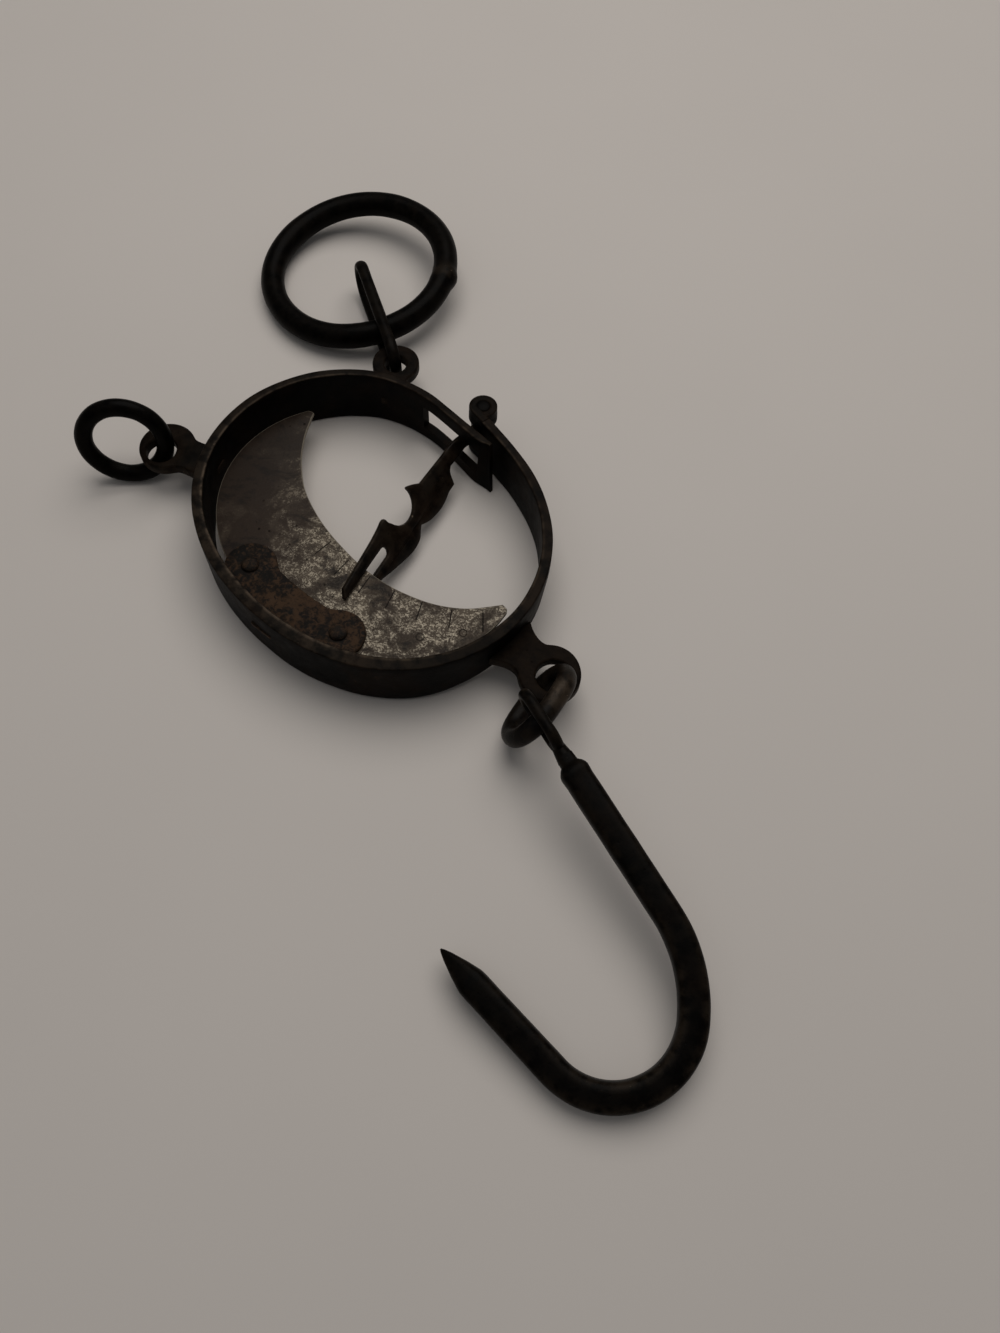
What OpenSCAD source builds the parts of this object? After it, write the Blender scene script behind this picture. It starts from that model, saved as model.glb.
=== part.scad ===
// Hanging scale with an open ring spring, a pointer and a crescent dial.
// It lies flat, with the rims of the spring level. Sizes are in millimetres.
// Headings are in degrees, counterclockwise from +X seen from above.

/* [Ring spring] */
// Mean radius of the spring's outside
ring_r = 60.5; // [56:0.5:66]
// Half the difference between the spring's long and short radius
ring_oval = 5.65; // [3:0.05:7]
// Turn of the long radius, clockwise from +X
ring_oval_turn = 40.8; // [36:0.2:46]
// Sideways drift of the rolled end over the tongue end
ring_drift = 1.13; // [0:0.01:1.6]
// Heading of that drift
ring_drift_turn = 61.9; // [50:0.1:75]
// Height of the band
band_h = 22.4; // [20:0.1:27]
// Thickness of the band opposite its ends
band_t = 4.7; // [4:0.1:5.6]
// Thickness of the band where it is rolled
band_end_t = 3.4; // [2.8:0.1:3.8]

/* [Rolled knuckle] */
// Polar angle of the roll's centre about the middle of the spring
knuckle_u = 53.9; // [51:0.1:57]
// How far the roll's centre stands outside the spring's outline
knuckle_out = 3.95; // [3.4:0.05:4.6]
// How far the rolled end turns outward from the spring's outline
knuckle_splay = 12.4; // [8:0.2:16]
// Outside radius of the roll
roll_r = 5.1; // [4.7:0.05:5.6]
// Height of the gap in the roll that takes the pointer's eye
knuckle_gap_h = 10; // [8:0.1:11.2]
// Width of the seam where the rolled end meets the band
seam_w = 0.5; // [0.3:0.05:0.8]
// Radius of the hinge pin
pin_r = 2.0; // [1.6:0.05:2.2]
// Height of the pin's domed end
pin_dome_h = 0.7; // [0.3:0.05:1]

/* [Tongue] */
// Thickness of the tongue
tongue_t = 3.0; // [2.6:0.05:3.4]
// Distance from the hinge pin to the middle of the tongue
tongue_off = 10.9; // [10.2:0.05:12]
// Heading of the tongue, towards its tip
tongue_turn = -41.6; // [-44:0.2:-39]
// Length of the tongue beyond the point nearest the pin
tongue_tip = 17.4; // [15:0.2:19]
// Length of the straight tongue before that point
tongue_root = 12.5; // [11:0.5:15]
// Length of the pointer slot beyond that point
slot_tip = 11.5; // [9.5:0.1:13]
// Length of the pointer slot before that point
slot_root = 17; // [14:0.1:19]
// Height of the pointer slot
slot_h = 11.2; // [10.4:0.1:13]

/* [Pointer] */
// Heading of the pointer's blade at rest
pointer_turn = -114.4; // [-118:0.1:-110]
// Heading of the pointer's stem, from the blade's
stem_bend = -19.9; // [-24:0.1:-16]
// Length of the stem from the pin to the blade
stem_len = 11.6; // [11:0.1:13]
// Thickness of the stem
stem_t = 2.8; // [2.2:0.1:3.2]
// Height of the stem where it meets the blade
stem_end_h = 6.2; // [5.6:0.1:7]
// Outside radius of the pointer's eye
eye_r = 4.4; // [4:0.05:4.8]
// Tilt of the blade from level
blade_tilt = 50; // [47:0.5:53]
// Thickness of the blade
blade_t = 2.0; // [1.7:0.05:2.2]
// Distance along the blade to the closed end of its fork
fork_start = 52.5; // [51:0.5:55]
// Length of the upper tine's tip along the blade
upper_tine = 77.5; // [74:0.5:79]
// Length of the lower tine's tip along the blade
lower_tine = 75; // [72:0.5:78]
// Radius of the round bite between the blade's horns
bite_r = 7.2; // [6.4:0.1:7.6]

/* [Dial] */
// Thickness of the dial plate
dial_t = 1.4; // [1.1:0.05:1.7]
// Gap between the dial's edge and the band, where it is narrowest
dial_gap = 2.0; // [1.4:0.1:3]
// How much wider that gap is at the dial's tips
dial_gap_grow = 2.4; // [1:0.1:4]
// Radius of the dial's hollow edge
hollow_r = 68.5; // [66:0.1:71]
// Place of the hollow edge's centre along X, from the hinge pin
hollow_x = 4; // [3:0.1:5.5]
// Place of the hollow edge's centre along Y, from the hinge pin
hollow_y = -10; // [-11:0.1:-8]
// Number of scratched scale marks
marks = 7; // [3:1:9]
// Heading of the first scale mark from the hinge pin
mark_first = -131.4; // [-134:0.1:-128]
// Step between scale marks
mark_step = 7.55; // [5:0.05:8]
// Length of a scale mark
mark_len = 7; // [4:0.5:9]
// Depth of a scale mark
mark_depth = 0.2; // [0.1:0.05:0.35]

/* [Dial bracket] */
// Thickness of the bracket
bracket_t = 1.5; // [1.2:0.1:2]
// Distance from the hinge pin to the bracket's hollow edge
bracket_in = 94.3; // [93:0.1:96]
// Radius of the bracket's round ends
lobe_r = 9.2; // [8:0.1:10]
// Distance from the hinge pin to the rivets
rivet_out = 100.6; // [99.5:0.1:101.5]
// Heading of the first rivet from the hinge pin
rivet_first = -137.6; // [-139:0.1:-136]
// Angle between the two rivets, about the hinge pin
rivet_step = 23.3; // [21:0.1:25]
// Radius of a rivet's head
rivet_head_r = 2.9; // [2.4:0.1:3.3]
// Height of a rivet's head
rivet_head_h = 1.6; // [1:0.1:2]
// Radius of a rivet's shank
rivet_r = 1.6; // [1.2:0.1:2]
// Width of the bracket's tenon through the band
bracket_tenon = 9; // [6:0.5:12]

/* [Lugs] */
// Thickness of the three lugs
lug_t = 4.4; // [4:0.1:5]
// Width of a lug's tenon through the band
tenon_w = 7; // [5:0.1:8]
// Height of a lug's tenon
tenon_h = 3.2; // [2.6:0.1:3.6]
// Polar angle of the top lug
top_u = 89.7; // [87:0.1:92]
// Reach of the top lug from the band to the middle of its head
top_reach = 14.1; // [13:0.1:16]
// Radius of the top lug's head
top_head_r = 8.5; // [8:0.1:9]
// Half the width of the top lug's neck
top_neck = 5; // [4.5:0.1:6]
// Polar angle of the left lug
left_u = 159.6; // [157:0.1:162]
// Reach of the left lug from the band to the middle of its head
left_reach = 17.6; // [16:0.1:20]
// Radius of the left lug's head
left_head_r = 9.8; // [9.2:0.1:10.4]
// Half the width of the left lug's neck
left_neck = 5.7; // [5:0.1:6.5]
// Polar angle of the hook lug
hook_u = -39.3; // [-42:0.1:-37]
// Reach of the hook lug from the band to the middle of its head
hook_reach = 16.3; // [15:0.1:18]
// Radius of the hook lug's head
hook_head_r = 10; // [9.6:0.1:11]
// Half the width of the hook lug's neck at its head
hook_neck = 6.3; // [5.6:0.1:7]
// Half the width of the hook lug's neck at the band
hook_neck_foot = 8.8; // [7.8:0.1:9.6]
// How far the hook lug's hole lies beyond the middle of its head
hook_hole_shift = 2.2; // [1.6:0.1:2.6]

/* [Rings and links] */
// Centre line radius of the suspension ring
grip_ring_r = 35.4; // [32:0.1:40]
// Radius of the suspension ring's bar
grip_bar_r = 4.7; // [4.2:0.1:4.9]
// Tilt of the suspension ring from level
grip_tilt = 7.6; // [6.5:0.1:9]
// Centre line radius of the small ring
small_ring_r = 13.9; // [13.6:0.1:16]
// Radius of the small ring's bar
small_bar_r = 3.1; // [2.8:0.1:3.4]
// Radius of the top link's wire
top_wire_r = 1.8; // [1.5:0.1:2]
// Length of the top link's straight sides
top_link_len = 35.6; // [30:0.1:40]
// Radius of the hook link's wire
hook_wire_r = 3.0; // [2.7:0.1:3.3]
// Length of the hook link's straight sides
hook_link_len = 7.1; // [6:0.1:10]
// Centre line radius of the hook link's round ends
hook_link_r = 10; // [9.6:0.1:12]
// Play of a wire in the hole of its lug
hole_play = 2.3; // [2:0.05:2.6]

/* [Hook] */
// Width and height of the hook's bar
hook_w = 9.2; // [8:0.1:10]
// Length of the shank from its eye to the first bend
shank_len = 68.3; // [60:0.1:80]
// Radius of the gentle bend below the shank
bow_r = 45; // [40:0.5:60]
// Turn of that gentle bend
bow_turn = 37.4; // [30:0.2:45]
// Radius of the hook's bottom
throat_r = 23.2; // [20:0.1:28]
// Turn of the hook's bottom
throat_turn = 129.9; // [120:0.1:140]
// Length of the hook's point leg
point_leg = 46; // [40:0.5:52]
// Length of the pointed tip
point_taper = 12.5; // [9:0.5:16]
// Length of the eye's straight sides
hook_eye_len = 9.2; // [8:0.1:12]
// Radius of the eye's wire
hook_eye_wire_r = 1.65; // [1.4:0.05:1.9]
// Play of the hook link in the eye
hook_eye_play = 0.6; // [0.45:0.05:0.9]

/* [Fits] */
// Radial play of the pin in its bores
pin_fit = 0.05; // [0.03:0.01:0.08]
// Gap between pieces that are driven or riveted together
seat = 0.05; // [0.03:0.01:0.1]
// Gap above and below the pointer's eye
eye_gap = 0.3; // [0.25:0.05:0.5]
// Gap between the pointer's fork and the dial's faces
fork_gap = 0.5; // [0.4:0.05:0.7]

/* [Hidden] */

// Middle of the whole outline, which is the part's origin
outline_mid = [2.83, -8.24];
// Level of the middle of the band, where the lugs, the slot and the pointer lie
mid_z = band_h / 2;
// Length by which cutters run past the faces that they cut
past = 3;
// Facets of round forms
$fn = 48;

function polar(r, a) = [r * cos(a), r * sin(a)];
function turned(v, a) = [v[0] * cos(a) - v[1] * sin(a), v[0] * sin(a) + v[1] * cos(a)];
function bezier(p, q, r, s, k) =
    pow(1 - k, 3) * p + 3 * k * pow(1 - k, 2) * q + 3 * k * k * (1 - k) * r + k * k * k * s;
function unit(v) = v / norm(v);
function left_of(v) = [-v[1], v[0]];
// Points of a smooth curve through the given points, ends included
function smooth(p, n) = concat([for (i = [0:len(p) - 2]) for (j = [0:n - 1])
    let (a = p[max(i - 1, 0)], b = p[i], c = p[i + 1], d = p[min(i + 2, len(p) - 1)], k = j / n)
    0.5 * (2 * b + (c - a) * k + (2 * a - 5 * b + 4 * c - d) * k * k
        + (3 * b - a - 3 * c + d) * k * k * k)], [p[len(p) - 1]]);

// Radius of the spring's outside and of its middle line at the polar angle u
function ring_outer(u) =
    ring_r + ring_oval * cos(2 * (u + ring_oval_turn)) + ring_drift * cos(u - ring_drift_turn);
arc_from = -262;
arc_to = 9;
thick_u = -90;
function thick(u) = u > thick_u
    ? band_t + (band_end_t - band_t) * (u - thick_u) / (arc_to - thick_u)
    : band_t + (tongue_t - band_t) * (thick_u - u) / (thick_u - arc_from);
function ring_mid(u) = polar(ring_outer(u) - thick(u) / 2, u);
function ring_inner(u) = ring_outer(u) - thick(u);
function ring_heading(u) = unit(ring_mid(u + 0.5) - ring_mid(u - 0.5));

// Hinge pin, and the foot of the roll on the band's middle line
pin_at = polar(ring_outer(knuckle_u) + knuckle_out, knuckle_u);
knuckle_turn = knuckle_u + 90 - knuckle_splay;
knuckle_dir = polar(1, knuckle_turn);
knuckle_in = left_of(knuckle_dir);
// How far the roll's outside stands proud of the band's inside
roll_bite = 0.12;
knuckle_foot = pin_at + knuckle_in * (roll_r - roll_bite - band_end_t / 2);

// Skin left between the seam and the band's outside
seam_skin = 0.12;

// Tongue, from the point of its middle line nearest the pin
tongue_dir = polar(1, tongue_turn);
tongue_foot = pin_at - left_of(tongue_dir) * tongue_off;

// Middle line of the band from the tongue's tip round to the rolled end
blend_n = 12;
blend_in = 9;
blend_out = 15;
tongue_start = tongue_foot - tongue_dir * tongue_root;
band_path = concat(
    [tongue_foot + tongue_dir * tongue_tip],
    [for (j = [0:blend_n - 1]) bezier(tongue_start, tongue_start - tongue_dir * blend_in,
        ring_mid(arc_from) - ring_heading(arc_from) * blend_in, ring_mid(arc_from), j / blend_n)],
    [for (u = [arc_from:3:arc_to - 1]) ring_mid(u)],
    [for (j = [0:blend_n]) bezier(ring_mid(arc_to), ring_mid(arc_to) + ring_heading(arc_to) * blend_out,
        knuckle_foot - knuckle_dir * blend_out, knuckle_foot, j / blend_n)]);
band_thick = concat(
    [for (j = [0:blend_n]) tongue_t],
    [for (u = [arc_from:3:arc_to - 1]) thick(u)],
    [for (j = [0:blend_n]) band_end_t]);
function band_side(i) = left_of(unit(band_path[min(i + 1, len(band_path) - 1)] - band_path[max(i - 1, 0)]));
band_n = len(band_path);

// Outline of the band, made wider by extra on each side
module band_outline(extra) {
    polygon(concat(
        [for (i = [0:band_n - 1]) band_path[i] + band_side(i) * (band_thick[i] / 2 + extra)],
        [for (i = [band_n - 1:-1:0]) band_path[i] - band_side(i) * (band_thick[i] / 2 + extra)]));
}

// Pointer
stem_turn = pointer_turn + stem_bend;
blade_at = pin_at + polar(stem_len, stem_turn);
eye_h = knuckle_gap_h - 2 * eye_gap;
// Half of the fork's opening across the blade
fork_half = (dial_t / 2 + fork_gap) / sin(blade_tilt) + blade_t / 2 / tan(blade_tilt);
dial_z = mid_z + 0.2;
fork_mid = (mid_z - dial_z) / sin(blade_tilt);

// Dial, bracket and rivets
dial_from = 104;
dial_to = 346;
dial_low_u = 225;
dial_half_u = 100;
hollow_at = pin_at + [hollow_x, hollow_y];
rivet_at = [for (i = [0:1]) pin_at + polar(rivet_out, rivet_first + i * rivet_step)];
dial_top = dial_z + dial_t / 2;
bracket_top = dial_top + seat + bracket_t;
bracket_u = atan2((rivet_at[0][1] + rivet_at[1][1]) / 2, (rivet_at[0][0] + rivet_at[1][0]) / 2);

// Lugs, each along a line from the middle of the spring
top_hole_r = top_wire_r + hole_play;
left_hole_r = small_bar_r + hole_play;
hook_hole_r = hook_wire_r + hole_play + 0.5;
top_hole = polar(ring_outer(top_u) + top_reach - 0.5, top_u);
left_hole = polar(ring_outer(left_u) + left_reach, left_u) + [-1.7, -2.1];
hook_hole = polar(ring_outer(hook_u) + hook_reach + hook_hole_shift, hook_u) + [-0.2, 0.2];

// Top link, which stands on edge through the top lug and round the suspension ring
link_play = 0.7;
top_link_r = grip_bar_r + link_play + top_wire_r;
top_link_turn = 111.4;
top_link_z = 9.75;
top_link_mid = top_hole + polar(top_link_r + top_link_len / 2, top_link_turn);

// Suspension ring, whose bar crosses the top link
grip_side_turn = 22;
grip_z = grip_ring_r * sin(grip_tilt) + grip_bar_r;
// Distance from the lug's hole to the place where the ring's bar crosses the link
grip_cross_off = 21.2;
grip_cross = top_hole + polar(grip_cross_off, top_link_turn);
grip_mid = grip_cross + polar(grip_ring_r, top_link_turn);

// Small ring, which stands in the left lug's hole and leans on the table
small_tilt = 74;
small_turn = 7.5;
small_z = small_ring_r * sin(small_tilt) + small_bar_r + 0.1;
small_cross_z = mid_z + 0.4;
small_cross_a = asin((small_cross_z - small_z) / (small_ring_r * sin(small_tilt)));
small_cross = left_hole + [0.85, 0.35];
small_mid = small_cross - turned([small_ring_r * cos(small_cross_a),
    small_ring_r * sin(small_cross_a) * cos(small_tilt)], small_turn);

// Hook link, which leans through the hook lug's hole
hook_link_turn = 61.1;
hook_link_tilt = 119.8;
// Middle of the link from the middle of the hole at the table
hook_link_from_hole = [-4.3, -11.15, 13.7];
hook_link_at = [hook_hole[0], hook_hole[1], 0] + hook_link_from_hole;

// Hook, whose eye lies over the hook link's upper side
hook_plane_turn = -22.9;
hook_plane_tilt = 10.7;
hook_turn = -55.1;
// Middle of the hook's eye from the middle of the link
hook_from_link = [0.35, -8.6, 8.2];
hook_at = hook_link_at + hook_from_link;
hook_eye_r = hook_wire_r + hook_eye_play + hook_eye_wire_r;
hook_eye_back = 4.2;

// Moves a piece from the middle of the spring to the part's origin
module placed() {
    translate([-outline_mid[0], -outline_mid[1], 0]) children();
}

// Cutter or bar in the frame of a lug, along its line from the middle of the spring
module along(u, x) {
    rotate([0, 0, u]) translate([x, 0, mid_z]) children();
}

module tenon_bar(u, w, h, x_from, x_to) {
    along(u, 0) translate([x_from, -w / 2, -h / 2]) cube([x_to - x_from, w, h]);
}

module mortise(u, w, h) {
    x = ring_inner(u);
    tenon_bar(u, w + 2 * seat, h + 2 * seat, x - past, x + band_t + past);
}

module spring_band() {
    color([0.11, 0.10, 0.09]) placed() difference() {
        union() {
            linear_extrude(band_h) band_outline(0);
            translate(pin_at) cylinder(r = roll_r, h = band_h);
        }
        // Bore for the pin
        translate([pin_at[0], pin_at[1], -past]) cylinder(r = pin_r + pin_fit, h = band_h + 2 * past);
        // Gap for the pointer's eye and the swing of its stem
        translate([pin_at[0], pin_at[1], mid_z - knuckle_gap_h / 2]) linear_extrude(knuckle_gap_h) {
            circle(r = roll_r + 0.6);
            rotate(knuckle_turn) translate([-4.8, 0]) square([4.8 + roll_r + 1, roll_r + 1]);
        }
        // Seam of the roll
        translate([pin_at[0], pin_at[1], -past]) rotate([0, 0, knuckle_turn])
            translate([-roll_r - 1, roll_r - roll_bite - band_end_t - seam_w - seam_skin, 0])
            cube([roll_r + 1, seam_w, band_h + 2 * past]);
        // Slot of the tongue
        translate([tongue_foot[0], tongue_foot[1], mid_z]) rotate([0, 0, tongue_turn])
            translate([-slot_root, -tongue_t, -slot_h / 2])
            cube([slot_root + slot_tip, 2 * tongue_t, slot_h]);
        mortise(top_u, tenon_w, tenon_h);
        mortise(left_u, tenon_w, tenon_h);
        mortise(hook_u, tenon_w, tenon_h);
        bracket_mortise(bracket_tenon + 2 * seat, bracket_t + 2 * seat);
    }
}

// Opening through the band for the bracket's tenon
module bracket_mortise(w, h) {
    x = ring_inner(bracket_u);
    rotate([0, 0, bracket_u]) translate([x - past, -w / 2, dial_top + seat + bracket_t / 2 - h / 2])
        cube([band_t + 2 * past, w, h]);
}

module hinge_pin() {
    color([0.16, 0.15, 0.14]) placed() translate([pin_at[0], pin_at[1], 0]) {
        translate([0, 0, 0.2]) cylinder(r = pin_r, h = band_h - 0.2);
        translate([0, 0, band_h]) cylinder(r1 = pin_r, r2 = pin_r * 0.6, h = pin_dome_h);
    }
}

// Outline of the pointer's blade, along its length and across it
horn_s = 37.6;
horn_w = -6.3;
blade_outline = concat(
    [[3, -2.6]],
    smooth([[24.5, -3.8], [27.3, -6.0], [30, -6.8], [30.5, -5.6]], 4),
    [for (a = [174:-12:18]) [horn_s, horn_w] + polar(bite_r, a)],
    smooth([[45.2, -5.4], [46.4, -6.6], [50.4, -6.6], [57.2, -5.9], [upper_tine - 2.4, -4.8]], 4),
    [[upper_tine, fork_mid - fork_half - 0.5], [upper_tine - 0.4, fork_mid - fork_half]],
    [for (a = [270:-15:90]) [fork_start + fork_half, fork_mid] + polar(fork_half, a)],
    [[lower_tine, fork_mid + fork_half]],
    smooth([[lower_tine, fork_mid + fork_half + 1], [68, 4.1], [62.5, 5.3], [56.1, 7.1], [47.4, 9.1], [43.5, 9.4],
        [39.8, 8.8], [37.7, 7.4]], 4),
    smooth([[35.6, 6.0], [32.5, 7.6], [29.4, 8.4], [24.9, 8.9], [21.2, 8.6], [17.4, 7.7]], 4),
    smooth([[13.5, 7.7], [12.6, 5.4], [11.4, 3.2], [8.4, 1.9], [3, 2.4]], 4));

// Frame of the blade's lower face, along the blade and across it
module blade_frame() {
    translate([blade_at[0], blade_at[1], mid_z]) rotate([0, 0, pointer_turn]) rotate([-blade_tilt, 0, 0])
        translate([0, 0, -blade_t / 2]) children();
}

module pointer() {
    color([0.24, 0.19, 0.15]) placed() {
        difference() {
            union() {
                translate([pin_at[0], pin_at[1], mid_z - eye_h / 2]) cylinder(r = eye_r, h = eye_h);
                // Stem, tapering from the eye's height to the blade
                translate([pin_at[0], pin_at[1], mid_z]) rotate([0, 0, stem_turn]) rotate([90, 0, 0])
                    translate([0, 0, -stem_t / 2]) linear_extrude(stem_t) polygon([
                        [0, -eye_h / 2], [eye_r, -eye_h / 2], [stem_len, -stem_end_h / 2],
                        [stem_len, stem_end_h / 2], [eye_r, eye_h / 2], [0, eye_h / 2]]);
                // Twist from the upright stem to the tilted blade
                hull() {
                    translate([pin_at[0], pin_at[1], mid_z]) rotate([0, 0, stem_turn])
                        translate([stem_len - 1, -stem_t / 2, -stem_end_h / 2]) cube([1, stem_t, stem_end_h]);
                    blade_frame() translate([7, -2.85, 0]) cube([0.5, 4.85, blade_t]);
                }
                blade_frame() linear_extrude(blade_t) polygon(blade_outline);
            }
            translate([pin_at[0], pin_at[1], mid_z - eye_h]) cylinder(r = pin_r + pin_fit, h = 2 * eye_h);
        }
    }
}

// Point of the dial's outer edge at the polar angle u
function dial_side(u) = let (v = u > arc_to + 90 ? u - 360 : u)
    polar(ring_inner(v) - dial_gap - dial_gap_grow * pow((u - dial_low_u) / dial_half_u, 2), u);

module dial_plate() {
    color([0.45, 0.42, 0.39]) placed() difference() {
        translate([0, 0, dial_z - dial_t / 2]) linear_extrude(dial_t) difference() {
            polygon([for (u = [dial_from:3:dial_to]) dial_side(u)]);
            translate(hollow_at) circle(r = hollow_r, $fn = 160);
        }
        for (p = rivet_at) translate([p[0], p[1], 0]) cylinder(r = rivet_r + seat, h = band_h);
        // Scale marks, scratched from the hollow edge outward
        for (i = [0:marks - 1]) mark_cut(mark_first + i * mark_step);
    }
}

// Distance from the hinge pin to the dial's hollow edge along a heading
function hollow_reach(a) = let (h = [hollow_x, hollow_y], b = h * polar(1, a))
    b + sqrt(b * b + hollow_r * hollow_r - h * h);

module mark_cut(a) {
    translate([pin_at[0], pin_at[1], dial_top - mark_depth]) rotate([0, 0, a])
        translate([hollow_reach(a) + 1.5, -0.15, 0]) cube([mark_len, 0.3, 1]);
}

module dial_bracket() {
    color([0.33, 0.20, 0.12]) placed() {
        difference() {
            translate([0, 0, dial_top + seat]) linear_extrude(bracket_t) difference() {
                union() {
                    for (p = rivet_at) translate(p) circle(r = lobe_r);
                    bracket_web();
                }
                band_outline(seat);
                outside_ring();
            }
            for (p = rivet_at) translate([p[0], p[1], 0]) cylinder(r = rivet_r + seat, h = band_h);
        }
        // Tenon through the band, flush with its outside
        intersection() {
            bracket_mortise(bracket_tenon, bracket_t);
            union() {
                linear_extrude(band_h) band_outline(0);
                rotate([0, 0, bracket_u]) translate([ring_inner(bracket_u) - 2, -bracket_tenon, 0])
                    cube([2.6, 2 * bracket_tenon, band_h]);
            }
        }
    }
}

// Web between the bracket's round ends, bounded by an arc about the hinge pin
module bracket_web() {
    polygon(concat(
        [for (k = [0:12]) pin_at + polar(bracket_in, rivet_first + k * rivet_step / 12)],
        [for (k = [12:-1:0]) pin_at + polar(rivet_out + 2 * lobe_r, rivet_first + k * rivet_step / 12)]));
}

// Everything outside the band near the bracket
module outside_ring() {
    polygon(concat(
        [for (u = [195:3:285]) polar(ring_outer(u - 360) - 1, u)],
        [for (u = [285:-3:195]) polar(ring_r + 60, u)]));
}

module dial_rivets() {
    color([0.30, 0.17, 0.11]) placed() for (p = rivet_at) translate([p[0], p[1], 0]) {
        translate([0, 0, dial_z - dial_t / 2 - rivet_head_h])
            cylinder(r = rivet_r, h = bracket_top - dial_z + dial_t / 2 + rivet_head_h + 0.1);
        translate([0, 0, bracket_top + seat]) cylinder(r1 = rivet_head_r, r2 = rivet_head_r * 0.8, h = rivet_head_h);
        translate([0, 0, dial_z - dial_t / 2 - seat - rivet_head_h * 0.7])
            cylinder(r1 = rivet_head_r * 0.8, r2 = rivet_head_r, h = rivet_head_h * 0.7);
    }
}

// Lug: a flat head with a hole on a neck whose tenon is flush with the band's inside
module lug(u, reach, head_r, neck, foot, hole_r, hole_at) {
    x0 = ring_outer(u);
    join_a = 180 - asin(neck / head_r);
    join = polar(head_r, join_a);
    difference() {
        translate([0, 0, mid_z - lug_t / 2]) linear_extrude(lug_t) difference() {
            rotate([0, 0, u]) translate([x0 + reach, 0]) {
                circle(r = head_r);
                polygon(concat(
                    [for (k = [0:0.1:1]) bezier([-reach - 2, foot], [-reach + 3, neck],
                        [join[0] - 2.5, join[1] - 0.4], join + [0.2, 0], k)],
                    [for (k = [1:-0.1:0]) bezier([-reach - 2, -foot], [-reach + 3, -neck],
                        [join[0] - 2.5, -join[1] + 0.4], [join[0] + 0.2, -join[1]], k)]));
            }
            band_outline(seat);
        }
        translate([hole_at[0], hole_at[1], -past]) cylinder(r = hole_r, h = band_h + 2 * past);
    }
    intersection() {
        tenon_bar(u, tenon_w, tenon_h, x0 - band_t - past, x0 + 1);
        union() {
            linear_extrude(band_h) band_outline(0);
            tenon_bar(u, tenon_w, tenon_h, x0 - 1, x0 + 1);
        }
    }
}

module top_lug() {
    color([0.25, 0.17, 0.12]) placed() lug(top_u, top_reach, top_head_r, top_neck, top_neck, top_hole_r, top_hole);
}

module left_lug() {
    color([0.25, 0.17, 0.12]) placed() lug(left_u, left_reach, left_head_r, left_neck, left_neck, left_hole_r, left_hole);
}

module hook_lug() {
    color([0.22, 0.15, 0.11]) placed() lug(hook_u, hook_reach, hook_head_r, hook_neck, hook_neck_foot, hook_hole_r, hook_hole);
}

// Closed link with round ends, flat in its own plane, long along X
module link(len, r, wire) {
    for (s = [-1, 1]) translate([s * len / 2, 0, 0]) rotate([0, 0, -s * 90])
        rotate_extrude(angle = 180) translate([r, 0]) circle(r = wire, $fn = 32);
    for (s = [-1, 1]) translate([-len / 2 - 0.01, s * r, 0]) rotate([0, 90, 0])
        cylinder(r = wire, h = len + 0.02, $fn = 32);
}

// Round ring, flat in its own plane
module ring(r, bar) {
    rotate_extrude($fn = 96) translate([r, 0]) circle(r = bar, $fn = 32);
}

module top_link() {
    color([0.12, 0.12, 0.12]) placed() translate([top_link_mid[0], top_link_mid[1], top_link_z])
        rotate([0, 0, top_link_turn]) rotate([90, 0, 0]) link(top_link_len, top_link_r, top_wire_r);
}

module suspension_ring() {
    color([0.08, 0.08, 0.08]) placed() translate([grip_mid[0], grip_mid[1], grip_z])
        rotate([0, 0, grip_side_turn + 90]) rotate([-grip_tilt, 0, 0]) ring(grip_ring_r, grip_bar_r);
}

module small_ring() {
    color([0.08, 0.08, 0.08]) placed() translate([small_mid[0], small_mid[1], small_z])
        rotate([0, 0, small_turn]) rotate([small_tilt, 0, 0]) ring(small_ring_r, small_bar_r);
}

module hook_link() {
    color([0.16, 0.15, 0.14]) placed() translate(hook_link_at)
        rotate([0, 0, hook_link_turn]) rotate([hook_link_tilt, 0, 0]) link(hook_link_len, hook_link_r, hook_wire_r);
}

// Section of the hook's bar: a square with eased corners, wider by extra on each side
module bar_section(extra = 0) {
    c = hook_w / 2 - hook_ease;
    polygon([for (q = [0:3]) for (a = [0:22.5:90])
        turned([c, c] + polar(hook_ease + extra, a), 90 * q)]);
}
hook_ease = 2.2;

// Straight length of the bar, a little stouter than the bends so that it laps over their ends
module straight(len) {
    rotate([90, 0, 90]) linear_extrude(len) bar_section(lap_extra);
}

module bend(r, a) {
    translate([0, -r, 0]) rotate([0, 0, 90 - a]) rotate_extrude(angle = a, $fn = 120) translate([r, 0]) bar_section();
}

module after_bend(r, a) {
    translate([0, -r, 0]) rotate([0, 0, -a]) translate([0, r, 0]) children();
}

neck_end = 15;
shoulder_end = 21;
// Straight length between the hook's two bends
bow_end = 1;
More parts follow.
